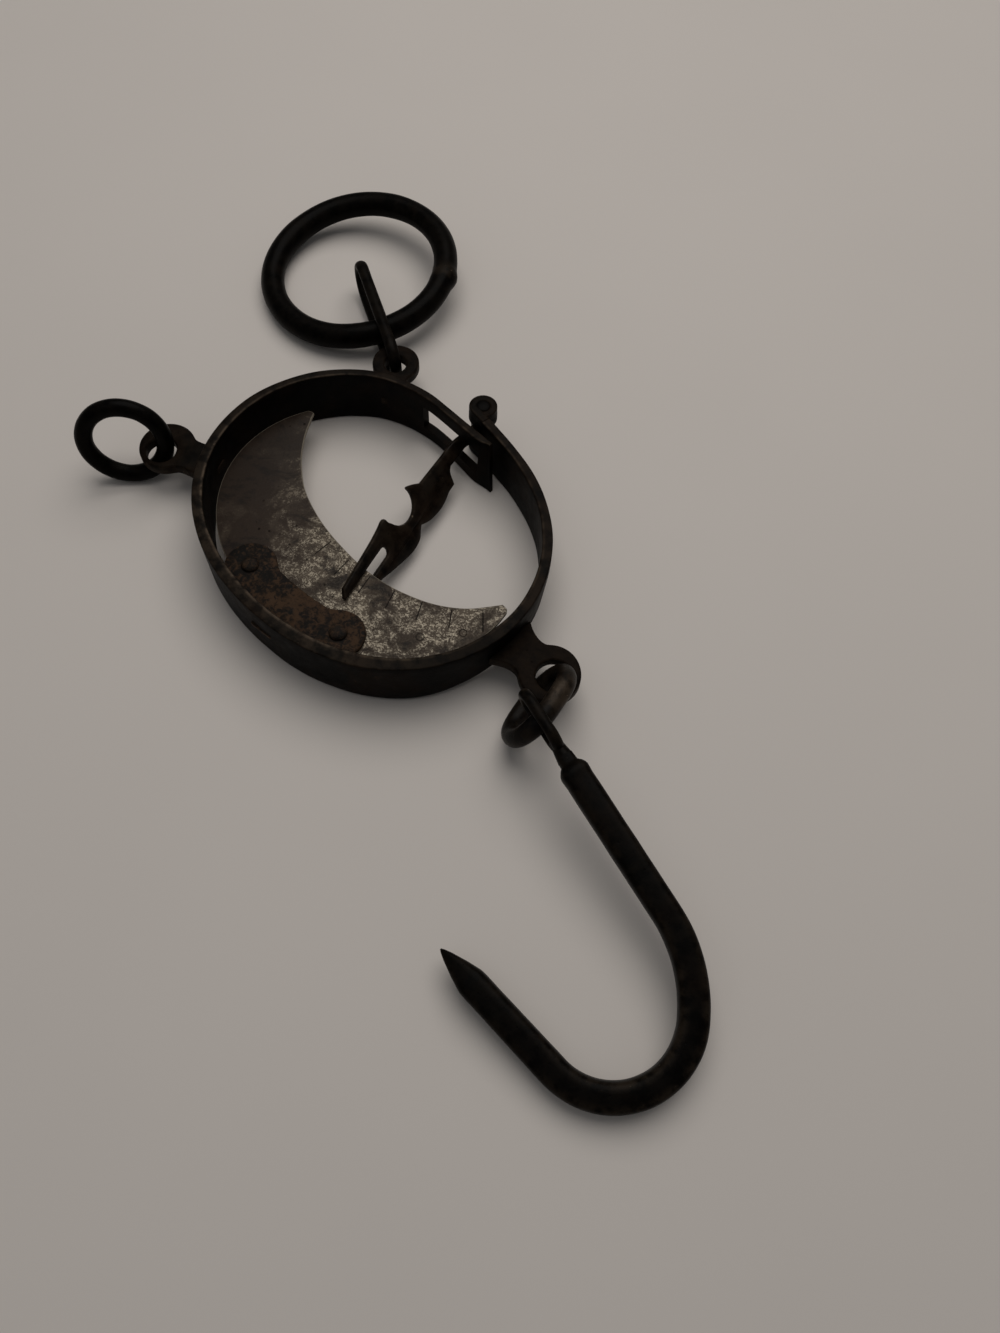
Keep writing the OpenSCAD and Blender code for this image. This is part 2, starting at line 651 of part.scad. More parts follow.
// Lap of joined lengths of the hook's bar, and how much stouter the outer length is there
lap = 0.25;
lap_extra = 0.02;
module hook() {
    color([0.06, 0.06, 0.06]) placed() translate(hook_at)
        rotate(a = hook_plane_tilt, v = [cos(hook_plane_turn), sin(hook_plane_turn), 0])
        rotate([0, 0, hook_turn]) {
        // Eye: a loop of thinner wire that stands across the hook's flat plane
        translate([hook_eye_len / 2 - hook_eye_back, 0, 0]) rotate([90, 0, 0])
            link(hook_eye_len, hook_eye_r, hook_eye_wire_r);
        // Neck, from the loop to the square shoulder
        translate([hook_eye_len - hook_eye_back + hook_eye_r, 0, 0]) rotate([0, 90, 0])
            cylinder(r = hook_eye_wire_r * 1.15, h = neck_end - hook_eye_len + hook_eye_back - hook_eye_r + 1);
        translate([neck_end, 0, 0]) rotate([90, 0, 90])
            linear_extrude(shoulder_end - neck_end, scale = 1 / 0.42) scale(0.42) bar_section();
        translate([shoulder_end - lap, 0, 0]) straight(shank_len - shoulder_end + 2 * lap);
        translate([shank_len, 0, 0]) {
            bend(bow_r, bow_turn);
            after_bend(bow_r, bow_turn) {
                translate([-lap, 0, 0]) straight(bow_end + 2 * lap);
                translate([bow_end, 0, 0]) bend(throat_r, throat_turn);
                translate([bow_end, 0, 0]) after_bend(throat_r, throat_turn) {
                    translate([-lap, 0, 0]) straight(point_leg - point_taper + lap);
                    translate([point_leg - point_taper - lap, 0, 0]) rotate([90, 0, 90])
                        linear_extrude(point_taper + lap, scale = 0.1) bar_section();
                }
            }
        }
    }
}

spring_band();
hinge_pin();
pointer();
dial_plate();
dial_bracket();
dial_rivets();
top_lug();
left_lug();
hook_lug();
top_link();
suspension_ring();
small_ring();
hook_link();
hook();
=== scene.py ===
"""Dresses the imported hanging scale: forged iron pieces worked out with numpy, their finishes, and the stage.

Shapes are given in millimetres in the part's own frame, and are scaled to metres when their mesh is made. A
heading is an angle in degrees from the x axis, and flat points are rows of x and y.
"""
import math
from typing import NamedTuple

import bmesh
import bpy
import numpy as np
from bpy.props import FloatProperty, FloatVectorProperty, IntProperty, PointerProperty
from mathutils import Matrix, Vector
from mathutils.geometry import tessellate_polygon


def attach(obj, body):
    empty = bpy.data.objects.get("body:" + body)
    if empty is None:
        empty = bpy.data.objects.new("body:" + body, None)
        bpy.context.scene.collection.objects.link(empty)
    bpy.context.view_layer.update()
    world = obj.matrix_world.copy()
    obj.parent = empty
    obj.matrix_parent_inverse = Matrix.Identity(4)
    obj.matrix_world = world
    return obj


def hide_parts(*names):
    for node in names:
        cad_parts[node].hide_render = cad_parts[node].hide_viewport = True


bl_info = {
    "name": "Hanging scale",
    "version": (1, 0, 0),
    "blender": (4, 5, 0),
    "location": "View3D > Sidebar > Scale",
    "description": "Builds a forged hanging scale with an open ring spring, a pointer and a crescent dial",
    "category": "Object",
}

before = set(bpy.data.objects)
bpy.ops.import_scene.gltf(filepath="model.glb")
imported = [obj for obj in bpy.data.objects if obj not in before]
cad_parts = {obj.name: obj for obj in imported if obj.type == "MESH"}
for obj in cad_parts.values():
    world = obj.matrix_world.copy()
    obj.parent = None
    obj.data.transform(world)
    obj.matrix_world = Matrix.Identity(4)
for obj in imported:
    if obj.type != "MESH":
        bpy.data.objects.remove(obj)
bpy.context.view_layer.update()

X_AXIS, Z_AXIS = (1, 0, 0), (0, 0, 1)


# Values that the part's source has too: the band's oval, its roll round the pin, and its tongue

MID = np.array([2.83, -8.24])
OVAL_R = 60.5
OVAL_SWELL, OVAL_U = 5.65, -40.8
OVAL_DRIFT, DRIFT_U = 1.13, 61.9
ARC_FROM, ARC_TO = -262.0, 9.0
THICKEST_U = -90.0
BAND_H = 22.4
MID_Z = BAND_H / 2
BAND_T, TONGUE_T, ROLL_T = 4.7, 3.0, 3.4
KNUCKLE_U, KNUCKLE_LEAN = 53.9, 12.4
PIN_OUT = 3.95
ROLL_R, ROLL_BITE = 5.1, 0.12
EYE_GAP = 10.0
TONGUE_TURN, TONGUE_OFF = -41.6, 10.9


def polar(radius, heading):
    """Point at a radius and a heading, for numbers or arrays."""
    a = np.radians(heading)
    return np.stack([radius * np.cos(a), radius * np.sin(a)], -1)


def heading_of(points):
    """Heading of flat points seen from the oval's middle."""
    x, y = (np.asarray(points, float) + MID).T
    return np.degrees(np.arctan2(y, x))


def ring_outer(u):
    """Radius of the band's outside at a heading: a mean, an oval swell and a sideways drift."""
    swell = OVAL_SWELL * np.cos(np.radians(2 * (u - OVAL_U)))
    return OVAL_R + swell + OVAL_DRIFT * np.cos(np.radians(u - DRIFT_U))


def thick(u):
    """Thickness of the band at a heading, thinning in a straight line from the bottom to both ends."""
    u = np.asarray(u, float)
    to_roll = BAND_T + (ROLL_T - BAND_T) * (u - THICKEST_U) / (ARC_TO - THICKEST_U)
    to_tongue = BAND_T + (TONGUE_T - BAND_T) * (THICKEST_U - u) / (THICKEST_U - ARC_FROM)
    return np.where(u > THICKEST_U, to_roll, to_tongue)


def ring_mid(u):
    """Point of the band's middle line at a heading."""
    return polar(ring_outer(u) - thick(u) / 2, u) - MID


def ring_inner(u):
    """Radius of the band's inside at any heading up to a full turn."""
    u = np.where(u > ARC_TO + 90, u - 360, u)
    return ring_outer(u) - thick(u)


def unit(v):
    v = np.asarray(v, float)
    return v / np.linalg.norm(v, axis=-1, keepdims=True)


def left_of(v):
    v = np.asarray(v, float)
    return np.stack([-v[..., 1], v[..., 0]], -1)


PIN = polar(ring_outer(KNUCKLE_U) + PIN_OUT, KNUCKLE_U) - MID
KNUCKLE_DIR = polar(1, KNUCKLE_U + 90 - KNUCKLE_LEAN)
KNUCKLE_FOOT = PIN + left_of(KNUCKLE_DIR) * (ROLL_R - ROLL_BITE - ROLL_T / 2)
TONGUE_DIR = polar(1, TONGUE_TURN)
TONGUE_FOOT = PIN - left_of(TONGUE_DIR) * TONGUE_OFF


# Lines and curves


def bezier(p, q, r, s, k):
    """Cubic curve from p to s, pulled by q and r, at the shares k of its way."""
    k = np.asarray(k)[:, None]
    return (1 - k) ** 3 * p + 3 * k * (1 - k) ** 2 * q + 3 * k * k * (1 - k) * r + k**3 * s


def waver(t, seed, waves):
    """Uneven hand-forged line: a sum of sines of t with fixed random phases, between about -1 and 1."""
    rng = np.random.default_rng(seed)
    phase = rng.uniform(0, 2 * math.pi, len(waves))
    size = rng.uniform(0.5, 1.0, len(waves)) / np.sqrt(np.asarray(waves, float))
    t = np.asarray(t, float)[..., None]
    return (size * np.sin(2 * math.pi * t * np.asarray(waves) + phase)).sum(-1) / size.sum()


def bump_at(x, centre, width):
    """Smooth hump of height 1 at the centre, gone at the width on both sides."""
    d = np.clip(np.abs(np.asarray(x, float) - centre) / width, 0, 1)
    return (1 - d * d) ** 2


def ease(x, start, end):
    """0 before start, 1 after end, smooth between."""
    k = np.clip((np.asarray(x, float) - start) / (end - start), 0, 1)
    return k * k * (3 - 2 * k)


def spline(points, n):
    """Catmull-Rom curve through the points, n steps to a span, ends included."""
    p = np.asarray(points, float)
    a, b, c, d = p[[0, *range(len(p) - 2)]], p[:-1], p[1:], p[[*range(2, len(p)), len(p) - 1]]
    k = (np.arange(n) / n)[None, :, None]
    a, b, c, d = (v[:, None, :] for v in (a, b, c, d))
    bend = (c - a) * k + (2 * a - 5 * b + 4 * c - d) * k**2 + (3 * b - a - 3 * c + d) * k**3
    return np.vstack([(0.5 * (2 * b + bend)).reshape(-1, p.shape[1]), p[-1:]])


def run_along(points):
    """Length of the line from its start to each of its points."""
    return np.r_[0, np.cumsum(np.linalg.norm(np.diff(points, axis=0), axis=1))]


def resample(points, step, closed=False):
    """The same line with points about a step apart."""
    p = np.asarray(points, float)
    if closed:
        p = np.vstack([p, p[:1]])
    run = run_along(p)
    n = max(int(round(run[-1] / step)), 3)
    at = np.linspace(0, run[-1], n + 1)
    out = np.stack([np.interp(at, run, p[:, i]) for i in range(p.shape[1])], -1)
    return out[:-1] if closed else out


def softened(points, turns):
    """A closed outline with its corners rounded, each turn averaging every point with its neighbours."""
    p = np.asarray(points, float)
    for _ in range(turns):
        p = (np.roll(p, 1, 0) + 2 * p + np.roll(p, -1, 0)) / 4
    return p


def round_section(n, power=1.0, start=0.0):
    """Circle of n points, or with a power under 1 on its cosine and sine a square with rounded corners."""
    a = np.linspace(0, 2 * math.pi, n, endpoint=False) + start
    both = np.stack([np.cos(a), np.sin(a)], -1)
    return np.sign(both) * np.abs(both) ** power


def turned(points, axis, degrees):
    """The points turned about an axis through the origin."""
    return np.asarray(points, float) @ np.array(Matrix.Rotation(math.radians(degrees), 3, Vector(axis))).T


def placed(points, turns, centre):
    """The points turned about each axis and angle of turns in order, then moved by the centre."""
    for axis, degrees in turns:
        points = turned(points, axis, degrees)
    return points + np.asarray(centre)


def placed_at(heading, z):
    """A function that places points given along and across a heading from the oval's middle, at a height."""
    return lambda points: placed(points, [(Z_AXIS, heading)], (-MID[0], -MID[1], z))


# Meshes


def grid_faces(rows, cols, wrap_rows=False):
    """Corner numbers of the faces of a grid of rows by cols points, whose columns go round."""
    i = np.arange(rows if wrap_rows else rows - 1)[:, None]
    j = np.arange(cols)[None, :]
    i2, j2 = (i + 1) % rows, (j + 1) % cols
    return np.stack([i * cols + j, i2 * cols + j, i2 * cols + j2, i * cols + j2], -1).reshape(-1, 4)


class Shell:
    """Gathers grids, caps and their wear and painted highlight values, and makes them one object."""

    def __init__(self):
        self.points, self.faces, self.wear_and_highlight, self.count = [], [], [], 0

    def add(self, points, faces, wear_and_highlight, caps=()):
        """Takes points, an array of faces of one size, the points' wear and painted highlight values, and the
        corners of each cap.
        """
        points = np.asarray(points, float).reshape(-1, 3)
        for some in (faces, *([cap] for cap in caps)):
            self.faces += (np.asarray(some, int) + self.count).tolist()
        self.points.append(points)
        self.wear_and_highlight.append(np.broadcast_to(np.ravel(wear_and_highlight), (len(points),)))
        self.count += len(points)

    def make(self, name, body, node, slot, material, sharp=38.0):
        """Makes the object in metres, turns its faces outward, parents it to its body's empty, and hides the
        imported part that it stands for.
        """
        mesh = bpy.data.meshes.new(name)
        mesh.from_pydata((np.vstack(self.points) * 0.001).tolist(), [], self.faces)
        layer = mesh.attributes.new("wear_and_highlight", "FLOAT", "POINT")
        layer.data.foreach_set("value", np.concatenate(self.wear_and_highlight).astype(np.float32))
        work = bmesh.new()
        work.from_mesh(mesh)
        bmesh.ops.remove_doubles(work, verts=work.verts, dist=1e-7)
        bmesh.ops.recalc_face_normals(work, faces=work.faces)
        work.to_mesh(mesh)
        work.free()
        mesh.shade_smooth()
        mesh.set_sharp_from_angle(angle=math.radians(sharp))
        mesh.materials.append(material)
        mesh.update()
        piece = bpy.data.objects.new(name, mesh)
        bpy.context.scene.collection.objects.link(piece)
        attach(piece, body)
        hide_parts(node)


def carried(path, across, section, up=(0.0, 0.0, 1.0)):
    """Points of a section carried along a path: at each station path + across * its x + up * its y."""
    line, side = (v if v.shape[1] == 3 else np.c_[v, np.zeros(len(v))] for v in (path, across))
    up = np.broadcast_to(up, line.shape)
    return line[:, None] + side[:, None] * section[..., 0:1] + up[:, None] * section[..., 1:2]


def add_carried(shell, points, wear_and_highlight, closed=False):
    """Adds a carried section as a grid, with a cap on each end where the path is open."""
    rows, cols = points.shape[:2]
    ring = np.arange(cols)
    caps = () if closed else (ring, ring + (rows - 1) * cols)
    shell.add(points, grid_faces(rows, cols, wrap_rows=closed), wear_and_highlight, caps)


def spun(shell, profile, centre, n, wear_and_highlight, ragged=0.0, seed=0, bored=False):
    """Adds a closed turned form: profile rows of radius and height spun about an upright line.

    The first and last rows are closed with flat faces, or joined to each other where the form is bored.
    """
    a = np.linspace(0, 2 * math.pi, n, endpoint=False)
    r, z = np.asarray(profile, float).T[..., None]
    out = 1 + ragged * waver(a / (2 * math.pi), seed, (2, 3, 5))
    points = np.stack([r * np.cos(a) * out, r * np.sin(a) * out, np.broadcast_to(z, (len(z), n))], -1)
    add_carried(shell, points + np.array([*centre, 0.0]), wear_and_highlight, closed=bored)


MOST_ROOM = 12.0
MOST_INSET = 0.85
RIM_INSET, RIM_SHARE = 0.31, 0.3


def room_inside(line, inward, others):
    """Radius of the largest circle inside closed lines that touches each point of the first, evened out."""
    d = np.vstack([line, *others])[None] - line[:, None]
    dot = (d * inward[:, None]).sum(-1)
    square = (d**2).sum(-1)
    gap = np.where(dot > 0.05 * np.sqrt(square) + 1e-6, square / np.maximum(2 * dot, 1e-6), 1e3)
    room = np.minimum(gap.min(1), MOST_ROOM)
    return np.minimum(room, (np.roll(room, 1) + np.roll(room, -1)) / 2 + 0.4)


def plate(shell, loops, levels, place, edge_wear_and_highlight, wear_face):
    """Adds a plate with any outline and holes.

    Each loop is a closed line of points; the first is the outline and the rest are holes. A level moves the
    loops in by its first number and has its second as its height. It may add a share of the room at each
    point to both. The first and last levels are closed with flat faces. place turns the flat points and
    heights into the part's frame.
    """
    ends, rims = ([], []), ([], [])
    points, wear_and_highlight, faces = [], [], []
    at = 0
    for k, loop in enumerate(loops):
        line = np.asarray(loop, float)
        x, y = line.T
        anticlockwise = np.sum(x * np.roll(y, -1) - np.roll(x, -1) * y) > 0
        if anticlockwise == (k > 0):
            line = line[::-1]
        inward = left_of(unit(np.roll(line, -1, 0) - np.roll(line, 1, 0)))
        room = room_inside(line, inward, () if k else loops[1:])
        n = len(line)
        for inset, height, *shares in levels:
            share, rise = shares or (0.0, 0.0)
            move = np.minimum(inset + share * room, MOST_INSET * room)
            points.append(np.c_[line + inward * move[:, None], height + rise * room])
            wear_and_highlight.append(np.full(n, edge_wear_and_highlight if inset < RIM_INSET and share < RIM_SHARE else wear_face))
        faces.append(grid_faces(len(levels), n) + at)
        for end, row in enumerate((0, len(levels) - 1)):
            ends[end].append(at + row * n + np.arange(n))
            rims[end].append((points[row - len(levels)] * [1, 1, 0]).tolist())
        at += n * len(levels)
    caps = []
    for end, rim in zip(ends, rims):
        caps += list(np.concatenate(end)[np.array(tessellate_polygon(rim))])
    shell.add(place(np.vstack(points)), np.vstack(faces), np.concatenate(wear_and_highlight), caps)


def add_tenon(shell, heading, inner, outer, half_width, step, levels, z, wear_and_highlight):
    """Adds a tenon along a heading from the oval's middle, between two radii."""
    corners = [[inner, -half_width], [outer, -half_width], [outer, half_width], [inner, half_width]]
    plate(shell, [resample(corners, step, closed=True)], levels, placed_at(heading, z), *wear_and_highlight)


def tenon_levels(low, high, inset):
    """Levels of a tenon between two heights, with its edges eased by an inset."""
    return [(inset, low), (0.0, low + 0.15), (0.0, high - 0.15), (inset, high)]


# Shader boards


class Wire:
    """A shader socket that takes part in Python expressions, each adding a Math node."""

    def __init__(self, board, socket):
        self.board, self.socket = board, socket

    def do(self, operation, *others, clamp=False):
        values = dict(enumerate((self, *others)))
        return self.board.node("ShaderNodeMath", {"operation": operation, "use_clamp": clamp}, values)

    def __add__(self, other):
        return self.do("ADD", other)

    __radd__ = __add__

    def __mul__(self, other):
        return self.do("MULTIPLY", other)

    def __sub__(self, other):
        return self.do("SUBTRACT", other)

    def __rsub__(self, other):
        return self.board.node("ShaderNodeMath", {"operation": "SUBTRACT"}, {0: other, 1: self})

    def __truediv__(self, other):
        return self.do("DIVIDE", other)

    def __pow__(self, other):
        return self.do("POWER", other)

    def above(self, low, high):
        """0 below low, 1 above high, smooth between."""
        limits = {0: self, 1: low, 2: high, 3: 0.0, 4: 1.0}
        return self.board.node("ShaderNodeMapRange", {"interpolation_type": "SMOOTHSTEP"}, limits)

    def kept(self):
        """Held between 0 and 1."""
        return self.do("ADD", 0.0, clamp=True)


class Board:
    """The nodes of one material."""

    def __init__(self, name):
        self.material = bpy.data.materials.new(name)
        self.material.use_nodes = True
        self.tree = self.material.node_tree
        self.tree.nodes.clear()
        self.place = self.node("ShaderNodeTexCoord", out="Object")

    def node(self, kind, settings=None, inputs=None, out=0):
        """Adds a node: its settings first, then its sockets from values or wires."""
        made = self.tree.nodes.new(kind)
        for key, value in (settings or {}).items():
            setattr(made, key, value)
        for key, value in (inputs or {}).items():
            if isinstance(value, Wire):
                self.tree.links.new(value.socket, made.inputs[key])
            else:
                made.inputs[key].default_value = value
        return Wire(self, made.outputs[out]) if made.outputs else None

    def noise(self, per_metre, detail=4.0, roughness=0.55, stretch=None, warp=0.0):
        at = self.place
        if stretch:
            at = self.node("ShaderNodeMapping", None, {"Vector": at, "Scale": stretch})
        values = {"Vector": at, "Scale": per_metre, "Detail": detail, "Roughness": roughness}
        values["Distortion"] = warp
        return self.node("ShaderNodeTexNoise", None, values)

    def cells(self, per_metre):
        """Distance to the middle of the nearest of scattered cells."""
        return self.node("ShaderNodeTexVoronoi", None, {"Vector": self.place, "Scale": per_metre})

    def mix(self, share, a, b):
        """Colour between a and b, each a wire or a colour."""
        a, b = (c if isinstance(c, Wire) else (*c[:3], 1.0) for c in (a, b))
        return self.node("ShaderNodeMix", {"data_type": "RGBA"}, {0: share, 6: a, 7: b}, out=2)

    def wear_and_highlight(self):
        return self.node("ShaderNodeAttribute", {"attribute_name": "wear_and_highlight"}, None, out="Fac")

    def axes(self):
        split = self.node("ShaderNodeSeparateXYZ", None, {0: self.place})
        return [Wire(self, output) for output in split.socket.node.outputs]

    def bump(self, height, strength, distance):
        values = {"Height": height, "Strength": strength, "Distance": distance}
        return self.node("ShaderNodeBump", None, values)

    def finish(self, colour, roughness, metallic, normal, specular):
        """The surface shader and the output. Values that are the same all over sit on the sockets."""
        values = {"Base Color": colour, "Roughness": roughness, "Metallic": metallic, "Normal": normal}
        values["Specular IOR Level"] = specular
        shader = self.node("ShaderNodeBsdfPrincipled", None, values)
        self.node("ShaderNodeOutputMaterial", None, {0: shader})
        return self.material


def times(colour, factor):
    return [min(value * factor, 1.0) for value in colour[:3]]


class Iron(NamedTuple):
    """An iron finish: factors on the common colours, shares of brown, of wear with its painted highlights, and
    of rust, and how it shines.

    relief is the depth of its hammer marks, and scale the fineness of its pattern.
    """

    skin: float
    brown: float
    rim: float
    brown_share: float
    rub_and_highlight_share: float
    rust_share: float
    rough: float
    metal: float
    specular: float
    relief: float
    scale: float = 1.0


FINISHES = {
    "band iron": Iron(1.0, 1.0, 1.0, 0.62, 0.85, 0.2, 0.5, 0.02, 0.04, 0.4),
    "pin iron": Iron(1.0, 1.0, 1.0, 0.3, 0.3, 0.0, 0.45, 0.0, 0.04, 0.3),
    "pointer iron": Iron(1.0, 1.15, 0.8, 0.75, 0.5, 0.0, 0.36, 0.03, 0.08, 0.5),
    "rusty iron": Iron(1.6, 1.0, 0.8, 0.8, 0.45, 0.75, 0.72, 0.05, 0.15, 0.8, 1.3),
    "lug iron": Iron(1.0, 0.85, 0.8, 0.8, 0.45, 0.2, 0.55, 0.02, 0.035, 0.8),
    "ring iron": Iron(0.5, 0.4, 1.0, 0.25, 0.35, 0.0, 0.36, 0.0, 0.035, 0.3),
    "link iron": Iron(0.8, 1.0, 1.0, 0.5, 0.6, 0.0, 0.42, 0.03, 0.08, 0.8),
    "hook iron": Iron(0.45, 0.45, 0.8, 0.35, 0.6, 0.0, 0.40, 0.0, 0.04, 0.35),
}


def forged(name, tones):
    """Forged iron: a dark skin, brown clouds, rust, worn rims with light flecks and painted highlight lines,
    pits and hammer marks.
    """
    b, iron = Board(name), FINISHES[name]
    base, worn_and_highlight, scale = times(tones.skin, iron.skin), times(tones.rim, iron.rim), iron.scale
    clouds = b.noise(70 * scale, 5.0, 0.6, warp=0.4)
    patches = b.noise(230 * scale, 6.0, 0.62)
    grain = b.noise(1500 * scale, 4.0, 0.65)
    hammer = b.noise(120 * scale, 1.0, 0.4)
    wear_and_highlight = b.wear_and_highlight()
    brown_mask = clouds.above(0.62 - 0.35 * iron.brown_share, 0.85 - 0.35 * iron.brown_share)
    colour = b.mix(brown_mask * (patches * 0.8 + 0.3).kept(), base, times(tones.brown, iron.brown))
    if iron.rust_share:
        spots = b.noise(420 * scale, 8.0, 0.7, warp=0.6)
        rusted = 0.3 * iron.rust_share
        rust_mask = (spots * 0.6 + clouds * 0.4).above(0.66 - rusted, 0.78 - rusted)
        colour = b.mix(rust_mask, colour, tones.rust)
    # Worn colour on the rims and edges; on the band's rim and the lower link it is also a painted highlight
    rubbed_and_highlight = (wear_and_highlight * (patches.above(0.36, 0.62) * 0.85 + 0.12) * iron.rub_and_highlight_share).kept()
    colour = b.mix(rubbed_and_highlight, colour, worn_and_highlight)
    flecks = b.noise(900 * scale, 2.0, 0.5).above(0.70, 0.78) * wear_and_highlight.above(0.2, 0.9)
    colour = b.mix(flecks * 0.55, colour, times(worn_and_highlight, 3.2))
    pits = b.cells(330 * scale).above(0.0, 0.16)
    colour = b.mix((1 - pits) * 0.6, colour, times(base, 0.35))
    height = hammer * 0.9 + patches * 0.35 + grain * 0.12 + pits * 0.22
    roughness = (iron.rough + (patches - 0.5) * 0.35 + (grain - 0.5) * 0.2 - rubbed_and_highlight * 0.14).kept()
    metallic = (rubbed_and_highlight * 0.5 + iron.metal).kept()
    return b.finish(colour, roughness, metallic, b.bump(height, iron.relief, 0.0006), iron.specular)


# Scale marks on the dial: how many, their headings from the pin, and how far they reach from the hollow edge
MARKS, MARK_FIRST, MARK_STEP = 7, -131.4, 7.55
MARK_FROM, MARK_TO = 0.9, 8.6
HOLLOW_MID, HOLLOW_R = (36.5, 46.7), 68.5
# Two small rings punched under the last marks
PUNCHED, PUNCH_R = ((17.84, -33.55), (31.86, -30.96)), 1.3


def offset_from(x, y, centre):
    """Offsets in millimetres of a place, given in metres, from a flat point in millimetres."""
    return x * 1000 - float(centre[0]), y * 1000 - float(centre[1])


def length_of(dx, dy):
    return (dx * dx + dy * dy) ** 0.5


def dial_marks(x, y, mottle):
    """How deep the dial's marks are at a place: lines at even headings from the pin, and punched rings."""
    dx, dy = offset_from(x, y, PIN)
    heading = dy.do("ARCTAN2", dx) * (180 / math.pi)
    reach = length_of(dx, dy)
    number = (heading - MARK_FIRST) / MARK_STEP
    off = (number - number.do("ROUND")).do("ABSOLUTE") * math.radians(MARK_STEP) * reach
    counted = number.above(-0.3, -0.2) * (1 - number.above(MARKS - 0.8, MARKS - 0.7))
    from_edge = length_of(*offset_from(x, y, HOLLOW_MID)) - HOLLOW_R
    length = from_edge.above(MARK_FROM, MARK_FROM + 0.4) * (1 - from_edge.above(MARK_TO - 0.6, MARK_TO))
    mark = (1 - off.above(0.10, 0.26)) * counted * length * (mottle * 1.2 + 0.3).kept()
    for centre in PUNCHED:
        ring = (length_of(*offset_from(x, y, centre)) - PUNCH_R).do("ABSOLUTE")
        mark = mark.do("MAXIMUM", (1 - ring.above(0.08, 0.28)) * 0.65)
    return mark


def dial_steel(name, tones):
    """Old steel: grey, silver mottling to the right, purple-brown tarnish to the left, pits and marks."""
    b = Board(name)
    dark = times(tones.tarnish, 0.35)
    x, y, _ = b.axes()
    clouds = b.noise(60, 5.0, 0.62, warp=0.5)
    drift = b.noise(120, 6.0, 0.62, warp=0.7)
    mottle = b.noise(520, 10.0, 0.78, warp=0.25)
    fine = b.noise(1500, 5.0, 0.8)
    streak = b.noise(260, 6.0, 0.65, stretch=(0.5, 1.3, 1.0))
    side = ((x + y * -0.35) * 1000).above(-50.0, -8.0)
    wear_and_highlight = b.wear_and_highlight()
    brown = (clouds.above(0.42, 0.60) * 0.70 + (1 - side) * 0.75).kept()
    colour = b.mix(brown, tones.steel, tones.tarnish)
    colour = b.mix(drift.above(0.50, 0.62) * streak.above(0.40, 0.58) * 0.9, colour, dark)
    patch = ((1 - drift) * 0.6 + (1 - clouds) * 0.4 + (side - 0.5) * 0.08).above(0.47, 0.58)
    grain = (fine * 0.5 + mottle * 0.5).above(0.485, 0.56)
    shine = (patch * (grain + 0.06) + grain * 0.10).kept()
    far = (y * 1000).above(2.0, 40.0)
    colour = b.mix(far * 0.5, colour, times(tones.tarnish, 0.45))
    colour = b.mix((shine * (side * 0.70 + 0.12)).kept(), colour, tones.silver)
    spots = b.cells(260).above(0.03, 0.16)
    rare = b.noise(90, 2.0, 0.5).above(0.48, 0.6)
    pit = ((1 - spots) * rare).kept()
    colour = b.mix(pit * 0.85, colour, times(dark, 0.15))
    # Bright steel on the edges: bare wear, and a painted highlight on the lit bevel
    colour = b.mix((wear_and_highlight * 0.8).kept(), colour, times(tones.silver, 1.25))
    mark = dial_marks(x, y, mottle)
    colour = b.mix((mark * 0.95).kept(), colour, times(dark, 0.2))
    height = mottle * 0.30 + fine * 0.10 + clouds * 0.3 - pit * 0.8 - mark * 1.1
    roughness = (0.50 + (mottle - 0.5) * 0.5 - shine * 0.14 + pit * 0.2).kept()
    metallic = (shine * 0.5 + 0.12).kept()
    return b.finish(colour, roughness, metallic, b.bump(height, 0.55, 0.0004), 0.16)


def table_top(tones):
    """Smooth painted table, very slightly clouded."""
    b = Board("table top")
    clouds = b.noise(9, 3.0, 0.5)
    fine = b.noise(700, 3.0, 0.5)
    colour = b.mix(clouds.above(0.3, 0.7) * 0.35, tones.table, times(tones.table, 0.96))
    return b.finish(colour, 0.62, 0.0, b.bump(fine, 0.05, 0.0002), 0.3)


# Sizes and colours that a user would change


def length_prop(name, description, default):
    return FloatProperty(name=name, description=description, default=default, unit="LENGTH")


def colour_prop(name, description, default):
    return FloatVectorProperty(
        name=name, description=description, default=default, subtype="COLOR", size=3, min=0, max=1
    )


class ScaleSizes(bpy.types.PropertyGroup):
    """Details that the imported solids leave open."""

    rim_ease: length_prop("Rim ease", "Rounding of the band's rims", 0.0005)
    unevenness: length_prop("Unevenness", "Depth of the forging marks", 0.00022)
    lug_ease: length_prop("Lug ease", "Rounding of the lugs' edges", 0.0008)
    weld_lump: length_prop("Weld lump", "Height of the lump on the big ring", 0.00045)
    ring_steps: IntProperty(
        name="Ring steps", description="Stations round a ring", default=180, min=48, max=400
    )


class ScaleColours(bpy.types.PropertyGroup):
    """Colours of the finishes."""

    skin: colour_prop("Scale skin", "Black skin of the forged iron", (0.0017, 0.0013, 0.0010))
    brown: colour_prop("Brown patina", "Brown of the band and lugs", (0.0098, 0.0051, 0.0027))
    # The worn rim colour is also the colour of the painted highlight lines and spots
    rim: colour_prop("Worn rim", "Iron worn bare along the rims", (0.083, 0.061, 0.043))
    rust: colour_prop("Rust", "Orange rust of the bracket", (0.050, 0.026, 0.0125))
    steel: colour_prop("Dial steel", "Grey of the dial", (0.070, 0.052, 0.0355))
    silver: colour_prop("Bright steel", "Bare metal showing through", (0.31, 0.272, 0.212))
    tarnish: colour_prop("Tarnish", "Purple-brown film on the dial", (0.0245, 0.0145, 0.0088))
    table: colour_prop("Table", "Pale table top", (0.70, 0.648, 0.605))


# Band

